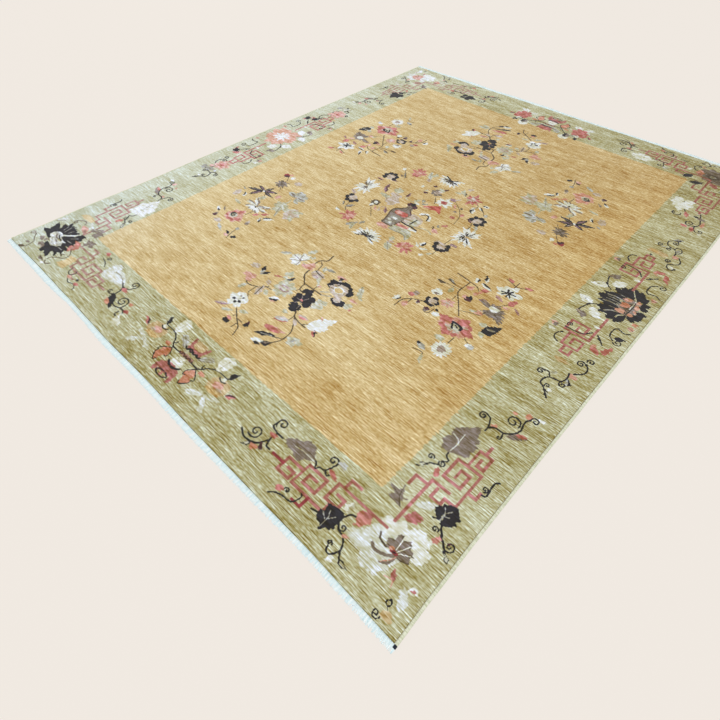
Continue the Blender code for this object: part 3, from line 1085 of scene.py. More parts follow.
def side_middle(flip_across, flower, extra):
    """The lotus, frets, buds and tendrils in the middle of one long side."""
    far_half = drawn(HALF_MIDDLE)
    whole = [
        *far_half,
        *moved(far_half, flip_along=True, shift=2j * MIDDLE_LINE),
    ]
    return [*flower, *moved(whole, flip_across), *drawn(extra)]


BOUQUET_SIDE = """
from -160,-1650
line black 6.5 150,63 110,62 94,67 83,77 74,91 59,103 42,113 18,118 -24,118 | -40,122 -24,116 | 6 83,77
 93,82 95,94
area mist 80,142 102,146 132,120 152,98 140,88 110,102 82,122
line grey 4 84,136 116,120 144,98 | 84,126 110,108 138,92
leaf black -45,145 50 26 110
area ivory -2,162 5,190 33,204 61,188 68,160 48,128 33,116 17,130
line sage 4 32,184 34,130
area yellow -90,84 -76,102 -30,108 8,94 16,68 4,38 -36,22 -84,44
spot gold -36,36 84 22
spot blush -34,70 58 36
leaf lilac -54,58 40 16 10
faded coral 68,59 44 26
spot ivory -28,104 26 20
line black 6 -46,101 -28,92 -8,98 -4,104
edged plum/rose -112,69 50 22 -35
area chalk -96,-54 -84,-32 -56,-8 -34,2 -32,-10 -48,-30 -64,-50 -80,-58 | -30,4 2,2 28,-12 42,-30 22,-38
 -2,-26 -20,-12 | -102,26 -66,20 -34,8 -36,-2 -72,4 -96,14
area coral 99,50 72,30 78,16 68,2 74,-12 96,-34 108,-16 110,-2 126,12 124,30 112,44
line black 4.5 102,56 68,28 60,13 68,9 68,-7 83,-26 98,-37 107,-23 | 94,65 116,43 128,26 125,7 112,9
line blush 4 98,38 94,0
"""

BOUQUET_AXIS = 32
HALF_VASE_FLOWER = """
from -40,-1720
line black 9 24,176 34,168 54,178 72,166
block brick -5,170 40,222
area yellow 10,232 6,200 40,188 40,232
line brick 13 -9,230 -2,200 20,186 40,184
line black 8 -10,174 2,166 14,176 28,166 40,175
block sage -2,154 40,164
block old_rose -4,130 40,148
line plum 6 -6,140 6,132 18,144 32,132 40,140
area ivory 20,122 8,98 6,80 40,70 40,124
line sage 5 18,120 32,102 40,108
area brick 6,72 -20,48 -22,4 -6,-2 0,30 12,8 40,4 40,74
line black 11 2,78 20,66 40,62 | 6.5 4,16 20,26 40,28 | 4,16 18,4 40,0
area green 10,15 22,22 40,23 40,6 22,8
block rose 34,6 40,30
"""

FAR_TRIMMINGS = """
from -210,1550
edged black/umber 77,-92 70 44 80 | 406,-94 72 46 100
leaf ivory 0,86 70 18 130 | 42,68 60 18 40 | 436,72 60 18 140 | 492,76 66 18 50 | 10,-72 44 24 80 |
 474,-70 44 22 100
plum rose/rose 20,4 60 6 0 | 462,6 60 6 0
"""


def end_bouquet(far):
    """The vase flower in the middle of an end border, with its leaves to both sides."""
    side = drawn(BOUQUET_SIDE)
    half = moved(drawn(HALF_VASE_FLOWER), shift=BOUQUET_AXIS)
    whole = [
        *side,
        *moved(side, flip_across=True, shift=2 * BOUQUET_AXIS),
        *half,
        *moved(half, flip_across=True, shift=2 * BOUQUET_AXIS),
    ]
    if far:
        whole = rewooled(moved(whole, flip_along=True, shift=-62j), {"yellow": "rose", "gold": "rose"})
    return whole


IVORY_LOTUS = """
from 1120,-1640
area chalk -2,42 -14,10 4,-22 30,-46 48,-36 76,-42 88,-8 100,28 70,50
plume chalk 40,50 -74,-2 70 | 45,65 -40,50 56 | 50,70 -36,80 60 | 65,40 8,-40 62 | 75,40 48,-46 56 | 78,40
 82,-20 44
plume ivory 48,80 -17,138 56 | 62,90 36,160 56 | 110,80 174,126 64 | 85,95 148,166 66 | 80,95 116,180 64
spot chalk 72,68 100 84
petals umber/twig 77,61 30 106:64 68:66 36:62 10:56 154:46
line umber 11 8,32 28,22 62,32 84,48 | 8 64,4 86,20 92,52
line twig 7 6,78 18,60 48,54
line ivory 3.5 80,56 72,124 | 80,56 108,110 | 80,56 126,84
line blush 3.5 64,6 86,34 92,50
spot blush 64,64 22 16
spot crimson/black 78,58 28 16
"""

BLACK_LOTUS = """
from -1220,-1630
area mist -23,76 5,85 29,76 53,66 95,52 120,38 110,19 86,-4 57,-13 29,-4 1,16 -28,40 -37,57
area black -62,128 -46,104 -35,83 -16,74 10,78 27,75 44,86 64,106 83,118 88,134 76,146 64,136 53,148
 42,140 36,154 26,142 17,161 6,146 -2,158 -11,144 -25,163 -37,144 -34,132 | 46,72 76,97 95,113 102,134
 114,146 148,150 144,128 158,114 146,99 172,84 154,74 172,62 156,56 166,44 138,38 140,24 112,24 102,42
 82,50 58,54 | 98,0 119,24 133,36 156,36 182,30 170,10 188,-13 158,-15 170,-45 135,-29 114,-40 102,-25
 64,-19 82,-8 | 19,-8 57,-15 90,-17 116,-27 132,-45 144,-78 114,-71 94,-60 85,-74 61,-74 48,-55 35,-37 |
 -100,113 -65,100 -42,89 -16,71 -28,56 -56,48 -82,56 -88,81 | -112,30 -82,48 -56,60 -26,52 -6,26 6,6 -28,6
 -56,16 -82,18
spot ivory -14,36 42 32 -30
leaf chalk 80,36 66 22 22
line chalk 9 32,68 66,94 94,126
line ivory 6.5 -6,72 18,74 | 24,24 60,10 90,4 | 8,16 40,-2
line umber 9 0,56 18,42 38,38
line black 6.5 20,60 44,46 74,42
line umber 6.5 40,28 70,20
line grey 3.5 2,136 14,90 | -20,130 -8,96 | 44,130 38,98 | 126,116 96,86 | 136,70 100,64 | 154,8 112,4
"""

MIDDLE_LOTUS = """
from 1210,-10
plume black 40,118 7,208 68 | 32,122 -40,178 56 | 62,118 50,200 58 | 62,122 92,168 48 | 80,94 111,126 40 |
 76,86 121,80 38 | 82,30 126,48 40 | 86,32 116,-14 44 | 74,14 93,-40 46 | 50,-2 33,-90 50 | 28,2 -2,-88 54
 | 12,-4 -50,-64 46 | 12,14 -70,-34 60 | 12,24 -70,12 46 | 12,55 -108,52 66 | -6,62 -93,90 34 | -6,44
 -92,10 34 | 12,102 -59,146 50 | 12,98 -70,94 44
spot umber/twig 43,52 82 140
line grey 8 8,80 -30,84 -67,76 | 8,30 -34,32 -66,24 | 7 16,-14 -10,-24 -32,-44 | 4 4,66 -30,68 -60,64 |
 4,48 -30,50 -60,46 | 3 4,110 -30,114 -50,110 | 4,6 -30,0
line sage 7 46,-18 30,-34 26,-52 | 5 14,184 34,146 54,108 52,40
spot blush 22,102 38 30 20
spot coral 26,56 40 42
spot apricot 74,72 22 36 | 66,110 20 28 | 24,4 46 32 | 68,4 24 26
spot blush 78,36 16 26
line black 4 56,106 60,50 54,-8 | 42,22 46,-4
"""

PINK_LOTUS = """
from -1250,1540
plume chalk 50,15 -75,32 62 | 50,5 -40,-50 58 | 60,0 8,-74 58
plume ivory 70,40 92,128 72 | 90,40 165,114 78 | 100,20 192,52 62
plume chalk 90,0 138,-52 52
spot blush 52,16 124 100
spot chalk 100,26 60 84
line old_rose 8 20,50 44,20 34,-20 | 7 0,20 44,10
"""

BROWN_LOTUS = """
from 1090,1550
plume umber 30,20 -38,90 62 | 30,30 8,122 62 | 45,30 70,118 62 | 50,20 126,80 62 | 50,10 150,10 62 | 50,0
 110,-66 60 | 40,0 60,-72 56 | 30,0 2,-58 56 | 20,10 -44,10 56
spot twig/grey 44,14 84 70
line old_rose 10 20,-50 60,-72 96,-88
"""

APRICOT_LOTUS = ("apricot", "apricot", "ivory", "ivory")


def whole_design():
    """Every motif of the rug, in the order in which they cover each other."""
    half_turn = {"flip_across": True, "flip_along": True}
    branch, lily, daisy_unit = drawn(BRANCH_SPRAY), drawn(LILY_SPRAY), drawn(DAISY_SPRAY)
    return [
        *branch,
        *moved(branch, **half_turn, shift=14 - 42j),
        *lily,
        *moved(rewooled(lily, {"rose": "coral"}), **half_turn, shift=-2 - 12j),
        *daisy_unit,
        *moved(daisy_unit, **half_turn, shift=4 - 4j),
        *drawn(MEDALLION),
        *drawn(VASE),
        *drawn(SCREEN),
        *corner(False, False, 0, None, 0, drawn(IVORY_LOTUS), END_VINES + CORNER_VINES + NEAR_RIGHT_LEAVES),
        *corner(True, False, 38, None, 26 - 22j, [], BLACK_LOTUS + NEAR_LEFT_LEAVES, FADED_WOOLS),
        *corner(False, True, -15j, 2j, 18j, drawn(BROWN_LOTUS), FAR_RIGHT_VINES + FAR_RIGHT_LEAVES,
                FADED_WOOLS | {"brick": "brick"}, side_vines=""),
        *corner(True, True, 38 - 15j, 34 + 2j, 30 + 18j, drawn(PINK_LOTUS), FAR_LEFT_LEAVES, FADED_WOOLS),
        *side_middle(False, drawn(MIDDLE_LOTUS), RIGHT_MIDDLE),
        *side_middle(True, lotus(-1216 + 42j, 132, *APRICOT_LOTUS), LEFT_MIDDLE),
        *end_bouquet(False),
        *end_bouquet(True),
        *drawn(FAR_TRIMMINGS),
    ]


# ---------------------------------------------------------------- the chart


def uneven(rows_apart, columns_apart, size, seed):
    """Knots by which a motif's outline strays, smooth between a lattice of random ones."""
    rows = np.arange(KNOTS_ALONG) / rows_apart
    columns = np.arange(KNOTS_ACROSS) / columns_apart
    shape = (int(rows[-1]) + 2, int(columns[-1]) + 2)
    lattice = np.random.default_rng(seed).normal(0, size, shape)
    y, x = rows.astype(int)[:, None], columns.astype(int)[None, :]
    t, s = rows[:, None] - y, columns[None, :] - x
    low = lattice[y, x] * (1 - s) + lattice[y, x + 1] * s
    high = lattice[y + 1, x] * (1 - s) + lattice[y + 1, x + 1] * s
    return low * (1 - t) + high * t


# How far a motif's outline strays, in knots, as no knot is tied quite in its place
STRAY_ACROSS = uneven(2, 12, 1.5, 11)
STRAY_ALONG = uneven(9, 7, 0.8, 12)
LONGEST_STRAY = 6


def knot_of(point):
    """The column and row, with fractions, of a point of the design."""
    steps = (point - FIRST_KNOT) / (KNOT / MM)
    return steps.real, steps.imag


def window(columns, rows, margin):
    """The part of the chart around these points, and the middles of its knots."""
    left = max(int(columns.min() - margin), 0)
    right = max(min(int(columns.max() + margin) + 2, KNOTS_ACROSS), left)
    low = max(int(rows.min() - margin), 0)
    high = max(min(int(rows.max() + margin) + 2, KNOTS_ALONG), low)
    part = (slice(low, high), slice(left, right))
    x, y = np.meshgrid(np.arange(left, right) + 0.5, np.arange(low, high) + 0.5)
    return part, x, y


def inside_outline(columns, rows, x, y):
    """Which of these knots lie inside a closed outline."""
    inside = np.zeros(x.shape, bool)
    for x0, y0, x1, y1 in zip(columns, rows, np.roll(columns, -1), np.roll(rows, -1)):
        if y0 != y1:
            crosses = (y0 > y) != (y1 > y)
            inside ^= crosses & (x < (x1 - x0) * (y - y0) / (y1 - y0) + x0)
    return inside


def under_line(columns, rows, x, y, reach, square):
    """Which of these knots lie within reach of a line, with square or round corners."""
    inside = np.zeros(x.shape, bool)
    for x0, y0, x1, y1 in zip(columns, rows, columns[1:], rows[1:]):
        run_x, run_y = x1 - x0, y1 - y0
        length = max(run_x**2 + run_y**2, 1e-9)
        t = np.clip(((x - x0) * run_x + (y - y0) * run_y) / length, 0, 1)
        away_x, away_y = np.abs(x - x0 - t * run_x), np.abs(y - y0 - t * run_y)
        away = np.maximum(away_x, away_y) if square else np.hypot(away_x, away_y)
        inside |= away <= reach
    return inside


def knot_patch(chart, wool, points, width):
    """Gives the knots inside a filled outline, or along a line of yarn, this wool."""
    columns, rows = knot_of(points)
    reach = width * MM / KNOT / 2
    part, x, y = window(columns, rows, reach + LONGEST_STRAY)
    if width == FILLED:
        inside = inside_outline(columns, rows, x + STRAY_ACROSS[part], y + STRAY_ALONG[part])
    else:
        inside = under_line(columns, rows, x, y, reach, width == FRET_WIDTH)
    chart[part][inside] = NAMES.index(wool)


def knotted_chart():
    """A number for each knot's wool: the design on its gold field and green border."""
    chart = np.full((KNOTS_ALONG, KNOTS_ACROSS), NAMES.index("green"), np.int16)
    field = block("gold", None, FIELD_LOW, FIELD_HIGH)
    for wool, points, width in [*field, *whole_design()]:
        knot_patch(chart, wool, points, width)
    return chart


# ---------------------------------------------------------------- the pile

LATTICE = 36  # knots between the sheet's added points
RIM_STEP = 3  # knots between the points of its outer edge
RIM_RADIUS = 0.004
FOOT_PAINTED_SHADE = -2.2  # painted shade on the foot of the pile's outer edge, where it meets the floor: how much deeper the wool is made there
SLACK = 0.75  # knots by which a colour's edge may cut its steps
FIELD_STREAKING, BORDER_STREAKING = 0.60, 0.72
FADE_AND_LIGHT_SLOPE = (-0.18, -0.046)  # paler towards the left and the near end, a metre across and along, over the whole rug: partly fading, partly painted sheen of the window light at the left

# Places made paler, or deeper: partly where years of daylight and use have paled the wool or left it deep,
# partly painted sheen and shade of the window light.
# By how much, the metres across and along from the middle, and the reach across and along
FADE_AND_LIGHT_PLACES = (
    (0.405, -1.60, -2.00, 0.96, 4.26),
    (0.334, 0.33, -1.04, 0.48, 0.45),
    (0.322, 1.20, -1.45, 0.30, 0.36),
    (-0.378, 1.17, 1.51, 0.30, 0.29),
    (-0.324, -1.60, -1.70, 2.26, 0.34),
    (-0.35, -0.12, -1.64, 0.32, 0.22),
    (0.32, 1.28, 1.68, 0.24, 0.11),
    (0.3, -1.12, 1.64, 0.18, 0.12),
)
# Places where the ground is painted bluer, or warmer, as the cool cast of the window light: the near left
# corner, the left side and the right
WINDOW_TINT_PLACES = (
    (0.07, -1.2, -1.5, 0.55, 0.5),
    (0.06, -1.37, 0.0, 0.3, math.inf),
    (-0.07, 1.05, 0.4, 0.35, 1.1),
)
GREEN_TINT_SHARE = 0.3  # the share of the painted tint's change in blue that the green takes


def colour_turns(chart):
    """The chart's corners where colours turn or meet, and which straight runs join them."""
    framed = np.pad(chart, 1, constant_values=-1)
    a, b, c, d = framed[:-1, :-1], framed[:-1, 1:], framed[1:, :-1], framed[1:, 1:]
    left, right, below, above = a != c, b != d, a != b, c != d
    straight = (left & right & ~below & ~above) | (below & above & ~left & ~right)
    turns = (left | right | below | above) & ~straight
    rows, columns = np.nonzero(turns)
    number = np.full(turns.shape, -1)
    number[rows, columns] = np.arange(len(rows))
    joined = [[] for _ in rows]
    for numbers, onwards in ((number, right), (number.T, above.T)):
        for line_of, runs in zip(numbers, onwards):
            stops = np.nonzero(line_of >= 0)[0]
            for first, last in zip(stops, stops[1:]):
                if runs[first]:
                    joined[line_of[first]].append(int(line_of[last]))
                    joined[line_of[last]].append(int(line_of[first]))
    return columns + 1j * rows, joined


def colour_lines(joined):
    """Each line between two colours, from one meeting of lines to the next or around."""
    meets = [number for number, others in enumerate(joined) if len(others) > 2]
    walked = set()
    for start in [*meets, *range(len(joined))]:
        for onward in joined[start]:
            if (start, onward) in walked:
                continue
            path = [start, onward]
            while len(joined[path[-1]]) == 2 and path[-1] != start:
                one, other = joined[path[-1]]
                path.append(other if one == path[-2] else one)
            walked.update(zip(path, path[1:]))
            walked.update(zip(path[1:], path))
            yield path


def eased(points, path):
    """The path's points that matter, each left-out one lying within the slack."""
    if len(path) < 3:
        return path
    places = points[path]
    run = places[-1] - places[0]
    if path[0] == path[-1]:
        away = np.abs(places - places[0])
    else:
        away = np.abs(((places - places[0]) * run.conjugate()).imag) / abs(run)
    far = int(np.argmax(away))
    if away[far] <= SLACK:
        return [path[0], path[-1]]
    return eased(points, path[:far + 1]) + eased(points, path[far:])[1:]


def added_points():
    """A lattice over the sheet, and close points along its rim."""
    spots = {(x, y) for y in range(0, KNOTS_ALONG, LATTICE) for x in range(0, KNOTS_ACROSS, LATTICE)}
    for x in range(0, KNOTS_ACROSS, RIM_STEP):
        spots |= {(x, 0), (x, KNOTS_ALONG)}
    for y in range(0, KNOTS_ALONG, RIM_STEP):
        spots |= {(0, y), (KNOTS_ACROSS, y)}
    return [complex(x, y) for x, y in sorted(spots)]


def linear(colour):
    """An sRGB colour, 0 to 255, as the shader takes it."""
    parts = [part / 255 for part in colour]
    return [c / 12.92 if c <= 0.04045 else ((c + 0.055) / 1.055) ** 2.4 for c in parts]


def change(places, x, y):
    """What these soft-edged places add up to here, in metres across and along the rug."""
    return sum(
        amount * math.exp(-(((x - across) / reach_across) ** 2) - ((y - along) / reach_along) ** 2)
        for amount, across, along, reach_across, reach_along in places
    )


def fading_and_painted_light(x, y):
    """How far the wool is made paler at this place of the rug: partly its fading, partly painted sheen and
    shade of the window light.
    """
    return FADE_AND_LIGHT_SLOPE[0] * x + FADE_AND_LIGHT_SLOPE[1] * y + change(FADE_AND_LIGHT_PLACES, x, y)


def streaking(x, y):
    """How strongly the dye of the yarn varies, most in the border and where the wool is made deeper by
    fading and painted shade.
    """
    low, high = FIELD_LOW * MM, FIELD_HIGH * MM
    in_field = low.real < x < high.real and low.imag < y < high.imag
    return (FIELD_STREAKING if in_field else BORDER_STREAKING) * (1 - 0.5 * fading_and_painted_light(x, y))


def cut_design(chart):
    """The sheet cut along its colours' lines: points, triangles and the cut edges."""
    points, joined = colour_turns(chart)
    lines = [eased(points, path) for path in colour_lines(joined)]
    used = sorted({number for path in lines for number in path})
    place = {number: index for index, number in enumerate(used)}
    cuts = [(place[a], place[b]) for path in lines for a, b in zip(path, path[1:])]
    kept = points[used].tolist()
    there = set(kept)
    kept += [spot for spot in added_points() if spot not in there]
    flat = [Vector((spot.real, spot.imag)) for spot in kept]
    spots, edges, faces, _, sources, _ = delaunay_2d_cdt(flat, cuts, [], 0, 1e-4, True)
    cut_edges = {frozenset(edge) for edge, source in zip(edges, sources) if source}
    return spots, faces, cut_edges


def wool_of_faces(chart, bm, shares, cut_edges):
    """The wool of each face, the same over every part that the cuts enclose."""
    waiting = set(bm.faces)
    while waiting:
        part, edge_of_part = [], [waiting.pop()]
        while edge_of_part:
            face = edge_of_part.pop()
            part.append(face)
            for edge in face.edges:
                if frozenset(vert.index for vert in edge.verts) in cut_edges:
                    continue
                fresh = [other for other in edge.link_faces if other in waiting]
                waiting.difference_update(fresh)
                edge_of_part += fresh
        votes = {}
        for face in part:
            middle = sum((vert[shares] for vert in face.verts), Vector()) / len(face.verts)
            wool = int(chart[int(middle.y * KNOTS_ALONG), int(middle.x * KNOTS_ACROSS)])
            votes[wool] = votes.get(wool, 0.0) + face.calc_area()
        yield part, max(votes, key=votes.get)


def cut_sheet(chart):
    """The design as a flat mesh in lying place, each face with its wool's colour."""
    spots, faces, cut_edges = cut_design(chart)
    bm = bmesh.new()
    colours = bm.loops.layers.float_color.new("wool")
    shares = bm.verts.layers.float_vector.new("shares")
    for spot in spots:
        across, along = spot.x / KNOTS_ACROSS, spot.y / KNOTS_ALONG
        vert = bm.verts.new((*lying_point(across, along), 0.0))
        vert[shares] = (across, along, 0.0)
    bm.verts.ensure_lookup_table()
    bm.verts.index_update()
    for face in faces:
        bm.faces.new([bm.verts[index] for index in face])
    for part, wool in wool_of_faces(chart, bm, shares, cut_edges):
        *shade, unevenness = WOOLS[NAMES[wool]]
        red, green, blue = [level / 255 for level in shade]
        # the field and border grounds take the painted cool tint of the window light
        tinted_places = WINDOW_TINT_PLACES if NAMES[wool] in GROUNDS else ()
        for face in part:
            for loop in face.loops:
                window_tint = change(tinted_places, *loop.vert.co.xy)
                green_now = green * (1 + GREEN_TINT_SHARE * window_tint)
                loop[colours] = (red, green_now, blue * (1 + window_tint), unevenness)
    return bm


def pile(chart):
    """The knotted carpet: its coloured sheet, given its thickness and a soft upper rim."""
    bm = cut_sheet(chart)
    shares = bm.verts.layers.float_vector["shares"]
    bmesh.ops.recalc_face_normals(bm, faces=bm.faces)
    if sum(face.normal.z for face in bm.faces) > 0:
        bmesh.ops.reverse_faces(bm, faces=bm.faces)
    fade_and_light_layer = bm.verts.layers.float.new("fading_and_painted_light")
    streaks = bm.verts.layers.float.new("streaking")
    # every point first takes the painted shade of the foot; the raised ones then take their fading with
    # painted sheen and shade
    for vert in bm.verts:
        vert[fade_and_light_layer] = FOOT_PAINTED_SHADE
    raised = bmesh.ops.extrude_face_region(bm, geom=list(bm.faces), use_keep_orig=True)["geom"]
    for vert in raised:
        if isinstance(vert, bmesh.types.BMVert):
            vert.co.z = pile_height(vert[shares].x, vert[shares].y)
            vert[fade_and_light_layer] = fading_and_painted_light(vert.co.x, vert.co.y)
            vert[streaks] = streaking(vert.co.x, vert.co.y)
    bmesh.ops.recalc_face_normals(bm, faces=bm.faces)
    rim = [
        edge for edge in bm.edges
        if all(vert.co.z > 0 for vert in edge.verts)
        and any(abs(face.normal.z) < 0.5 for face in edge.link_faces)
        and any(face.normal.z > 0.5 for face in edge.link_faces)
    ]
    bmesh.ops.bevel(bm, geom=rim, offset=RIM_RADIUS, segments=3, profile=0.5,
                    affect="EDGES", material=-1)
    for face in bm.faces:
        face.smooth = True
        face.material_index = 1 if face.normal.z < -0.5 else 0
    mesh = bpy.data.meshes.new("wool_pile")
    bm.to_mesh(mesh)
    bm.free()
    mesh.set_sharp_from_angle(angle=math.radians(60))
    return link("wool_pile", mesh, clipped_wool(), woven_back())


def link(name, data, *materials):
    """A piece of the scene from its mesh, in these materials."""
    made = bpy.data.objects.new(name, data)
    bpy.context.scene.collection.objects.link(made)
    for material in materials:
        data.materials.append(material)
    return made


# ---------------------------------------------------------------- cords and fringes

CORD_TURN = 0.0034  # the run of the cord that one turn of its yarn covers
CORD_FACETS = 10
CORD_SQUARENESS = 0.8  # below 1, the round section is squarer
CORD_FURROW = 0.9  # the cord's size between two turns of yarn
WARP_PITCH = 0.0026
WARP_RADIUS = 0.00135
WEFT_ROWS = 6
WEFT_PITCH = 0.0017
WEFT_RADIUS = 0.0009
WEFT_STEPS = 520
WEFT_WAVE = 0.0006  # how far the weft rises and sinks between the warps

# How high the warp ends of the near (-1) and far (1) end lie, and how raggedly they are cut
FRINGE_LIE = {-1: (0.0, 0.0032), 1: (0.005, 0.0035)}
# A warp end from root to tip: its share of the web's width and of the way on to the tip, its
# height lying flat, and its shares of the lift, the lean and the wave
WARP_ROUTE = (
    (0.0, 0.0, 0.0021, 0.0, 0.0, 0.0),
    (0.6, 0.0, 0.0022, 0.3, 0.0, 0.0),
    (1.0, 0.0, 0.0019, 0.8, 0.15, 0.0),
    (0.5, 0.5, 0.0015, 1.0, 0.6, 1.0),
    (0.0, 1.0, 0.00137, 0.3, 1.0, 0.0),
)
CLUMP_STRAY, LEAN_STRAY, WAVE_REACH = 0.0007, 0.0008, 0.0006
CLUMP_HOLD = 0.9  # the share of its neighbour's lean that a warp end takes on

# The dark yarn's reach at the near right corner: from the rug's side, and from its end
CORNER_YARN_ACROSS, CORNER_YARN_ALONG = 0.010, 0.009


def side_cord(name, side):
    """The overcast cord of one side: a flattened tube with a rib for each turn of yarn."""
    steps = 2 * round(PILE_LENGTH / CORD_TURN)
    bm = bmesh.new()
    bmesh.ops.create_cone(bm, cap_ends=True, segments=CORD_FACETS, radius1=1, radius2=1,
                          depth=steps, matrix=Matrix.Rotation(math.radians(90), 4, "X"))
    long_edges = [edge for edge in bm.edges if edge.verts[0].co.y * edge.verts[1].co.y < 0]
    bmesh.ops.subdivide_edges(bm, edges=long_edges, cuts=steps - 1)
    corner_share = 0.0 if side < 0 else 1.0
    near, far = end_y(-1, corner_share), end_y(1, corner_share)
    for vert in bm.verts:
        step = round(vert.co.y + steps / 2)
        share = step / steps
        swell = 1.0 if step % 2 else CORD_FURROW
        across, up = [
            math.copysign(abs(part) ** CORD_SQUARENESS, part) * swell
            for part in (vert.co.x, vert.co.z)
        ]
        vert.co = (
            side_x(side, share) + side * (PIECE_GAP + CORD_WIDTH / 2) + across * CORD_WIDTH / 2,
            near * (1 - share) + far * share,
            (up + 1) * CORD_HEIGHT / 2,
        )
    bmesh.ops.recalc_face_normals(bm, faces=bm.faces)
    for face in bm.faces:
        face.smooth = len(face.verts) == 4
    mesh = bpy.data.meshes.new(name)
    bm.to_mesh(mesh)
    bm.free()
    return link(name, mesh, wrapped_wool())


def end_corners(end):
    """Where the near (-1) or far (1) end's web starts and stops, across the rug."""
    share_along = 0.0 if end < 0 else 1.0
    reach = PIECE_GAP + CORD_WIDTH
    return side_x(-1, share_along) - reach, side_x(1, share_along) + reach


def fringe(name, end):
    """The cut warp ends at one end."""
    draw = random.Random(name)
    left, right = end_corners(end)
    lift, ragged_by = FRINGE_LIE[end]
    count = round((right - left) / WARP_PITCH)
    clump = 0.0
    routes = []
    for warp in range(count):
        share = (warp + 0.5) / count
        x = left + (warp + 0.5) * (right - left) / count
        root = end_y(end, share) + end * PIECE_GAP
        tip = tip_y(end, share) - end * abs(draw.gauss(0, ragged_by))
        clump = clump * CLUMP_HOLD + draw.gauss(0, CLUMP_STRAY)
        lean = clump + draw.gauss(0, LEAN_STRAY)
        wave = draw.uniform(-WAVE_REACH, WAVE_REACH)
        routes.append([
            (
                x + lean * leaning + wave * waving,
                root + end * WEB_WIDTH * in_web + (tip - root) * onwards,
                height + lift * lifted,
            )
            for in_web, onwards, height, lifted, leaning, waving in WARP_ROUTE
        ])
    return yarns(name, end, WARP_RADIUS, routes)


def web_rows(name, end):
    """The web's weft yarns, which lie across its warps."""
    left, right = end_corners(end)
    routes = []
    for row in range(WEFT_ROWS):
        route = []
        for step in range(WEFT_STEPS + 1):
            share = step / WEFT_STEPS
            y = end_y(end, share) + end * (PIECE_GAP + 0.001 + row * WEFT_PITCH)
            over = WEFT_WAVE if (step + row) % 2 else -WEFT_WAVE
            route.append((left + (right - left) * share, y, 0.0029 + over))
        routes.append(route)
    return yarns(name, end, WEFT_RADIUS, routes)


def yarns(name, end, radius, routes):
    """The yarns of one end along these routes, as one mesh with welded caps."""
    curve = bpy.data.curves.new(name, "CURVE")
    curve.dimensions = "3D"
    curve.bevel_depth = radius
    curve.bevel_resolution = 1
    curve.use_fill_caps = True
    for route in routes:
        spline = curve.splines.new("POLY")
        spline.points.add(len(route) - 1)
        for point, place in zip(spline.points, route):
            point.co = (*place, 1.0)
    guide = bpy.data.objects.new(name + "_guide", curve)
    bpy.context.scene.collection.objects.link(guide)
    graph = bpy.context.evaluated_depsgraph_get()
    mesh = bpy.data.meshes.new_from_object(guide.evaluated_get(graph))
    bpy.data.objects.remove(guide)
    bm = bmesh.new()
    bm.from_mesh(mesh)
    bmesh.ops.remove_doubles(bm, verts=bm.verts, dist=0.00001)
    bmesh.ops.recalc_face_normals(bm, faces=bm.faces)
    bm.to_mesh(mesh)
    bm.free()
    mesh.name = name
    mesh.shade_smooth()
    mesh.materials.clear()
    made = link(name, mesh, warp_cotton())
    if end < 0:
        knot_of_yarn(made)
    return made


def knot_of_yarn(made):
    """The dark yarn that closes the near right corner."""
    made.data.materials.append(corner_yarn())
    _, right = end_corners(-1)
    for face in made.data.polygons:
        across, along, _ = face.center
        if across > right - CORNER_YARN_ACROSS and along > -RUG_LENGTH / 2 + CORNER_YARN_ALONG:
            face.material_index = 1


# ---------------------------------------------------------------- materials

WOOL_GLOSS = 0.15  # specular level
WOOL_FUZZ = 0.1  # sheen weight

# The unevenness of the pile's wool, its furrows painted shade between the rows of knots: a noise's features
# a metre, its detail and roughness, the low and high end of it that count, and how far it pales the wool at
# each
WOOL_LOOK = {
    "furrow_shade": ((9.0, 280.0, 1.0), 1.0, 0.7, 0.35, 0.48, -1.5, 0.1),
    "ridges": ((12.0, 260.0, 7.0), 1.0, 0.7, 0.52, 0.65, 0.0, 1.2),
    "short": ((16.0, 290.0, 3.0), 1.0, 0.6, 0.3, 0.7, -0.8, 0.8),
    "grain": ((70.0, 190.0, 1.0), 0.0, 0.6, 0.3, 0.7, -0.6, 0.6),
    "broad": ((4.0, 20.0, 1.0), 2.0, 0.5, 0.35, 0.65, -0.38, 0.38),
    "areas": ((1.2, 4.0, 1.0), 2.0, 0.5, 0.35, 0.65, -0.25, 0.25),
    "mottles": ((28.0, 60.0, 1.0), 2.0, 0.6, 0.35, 0.65, -0.8, 0.8),
}


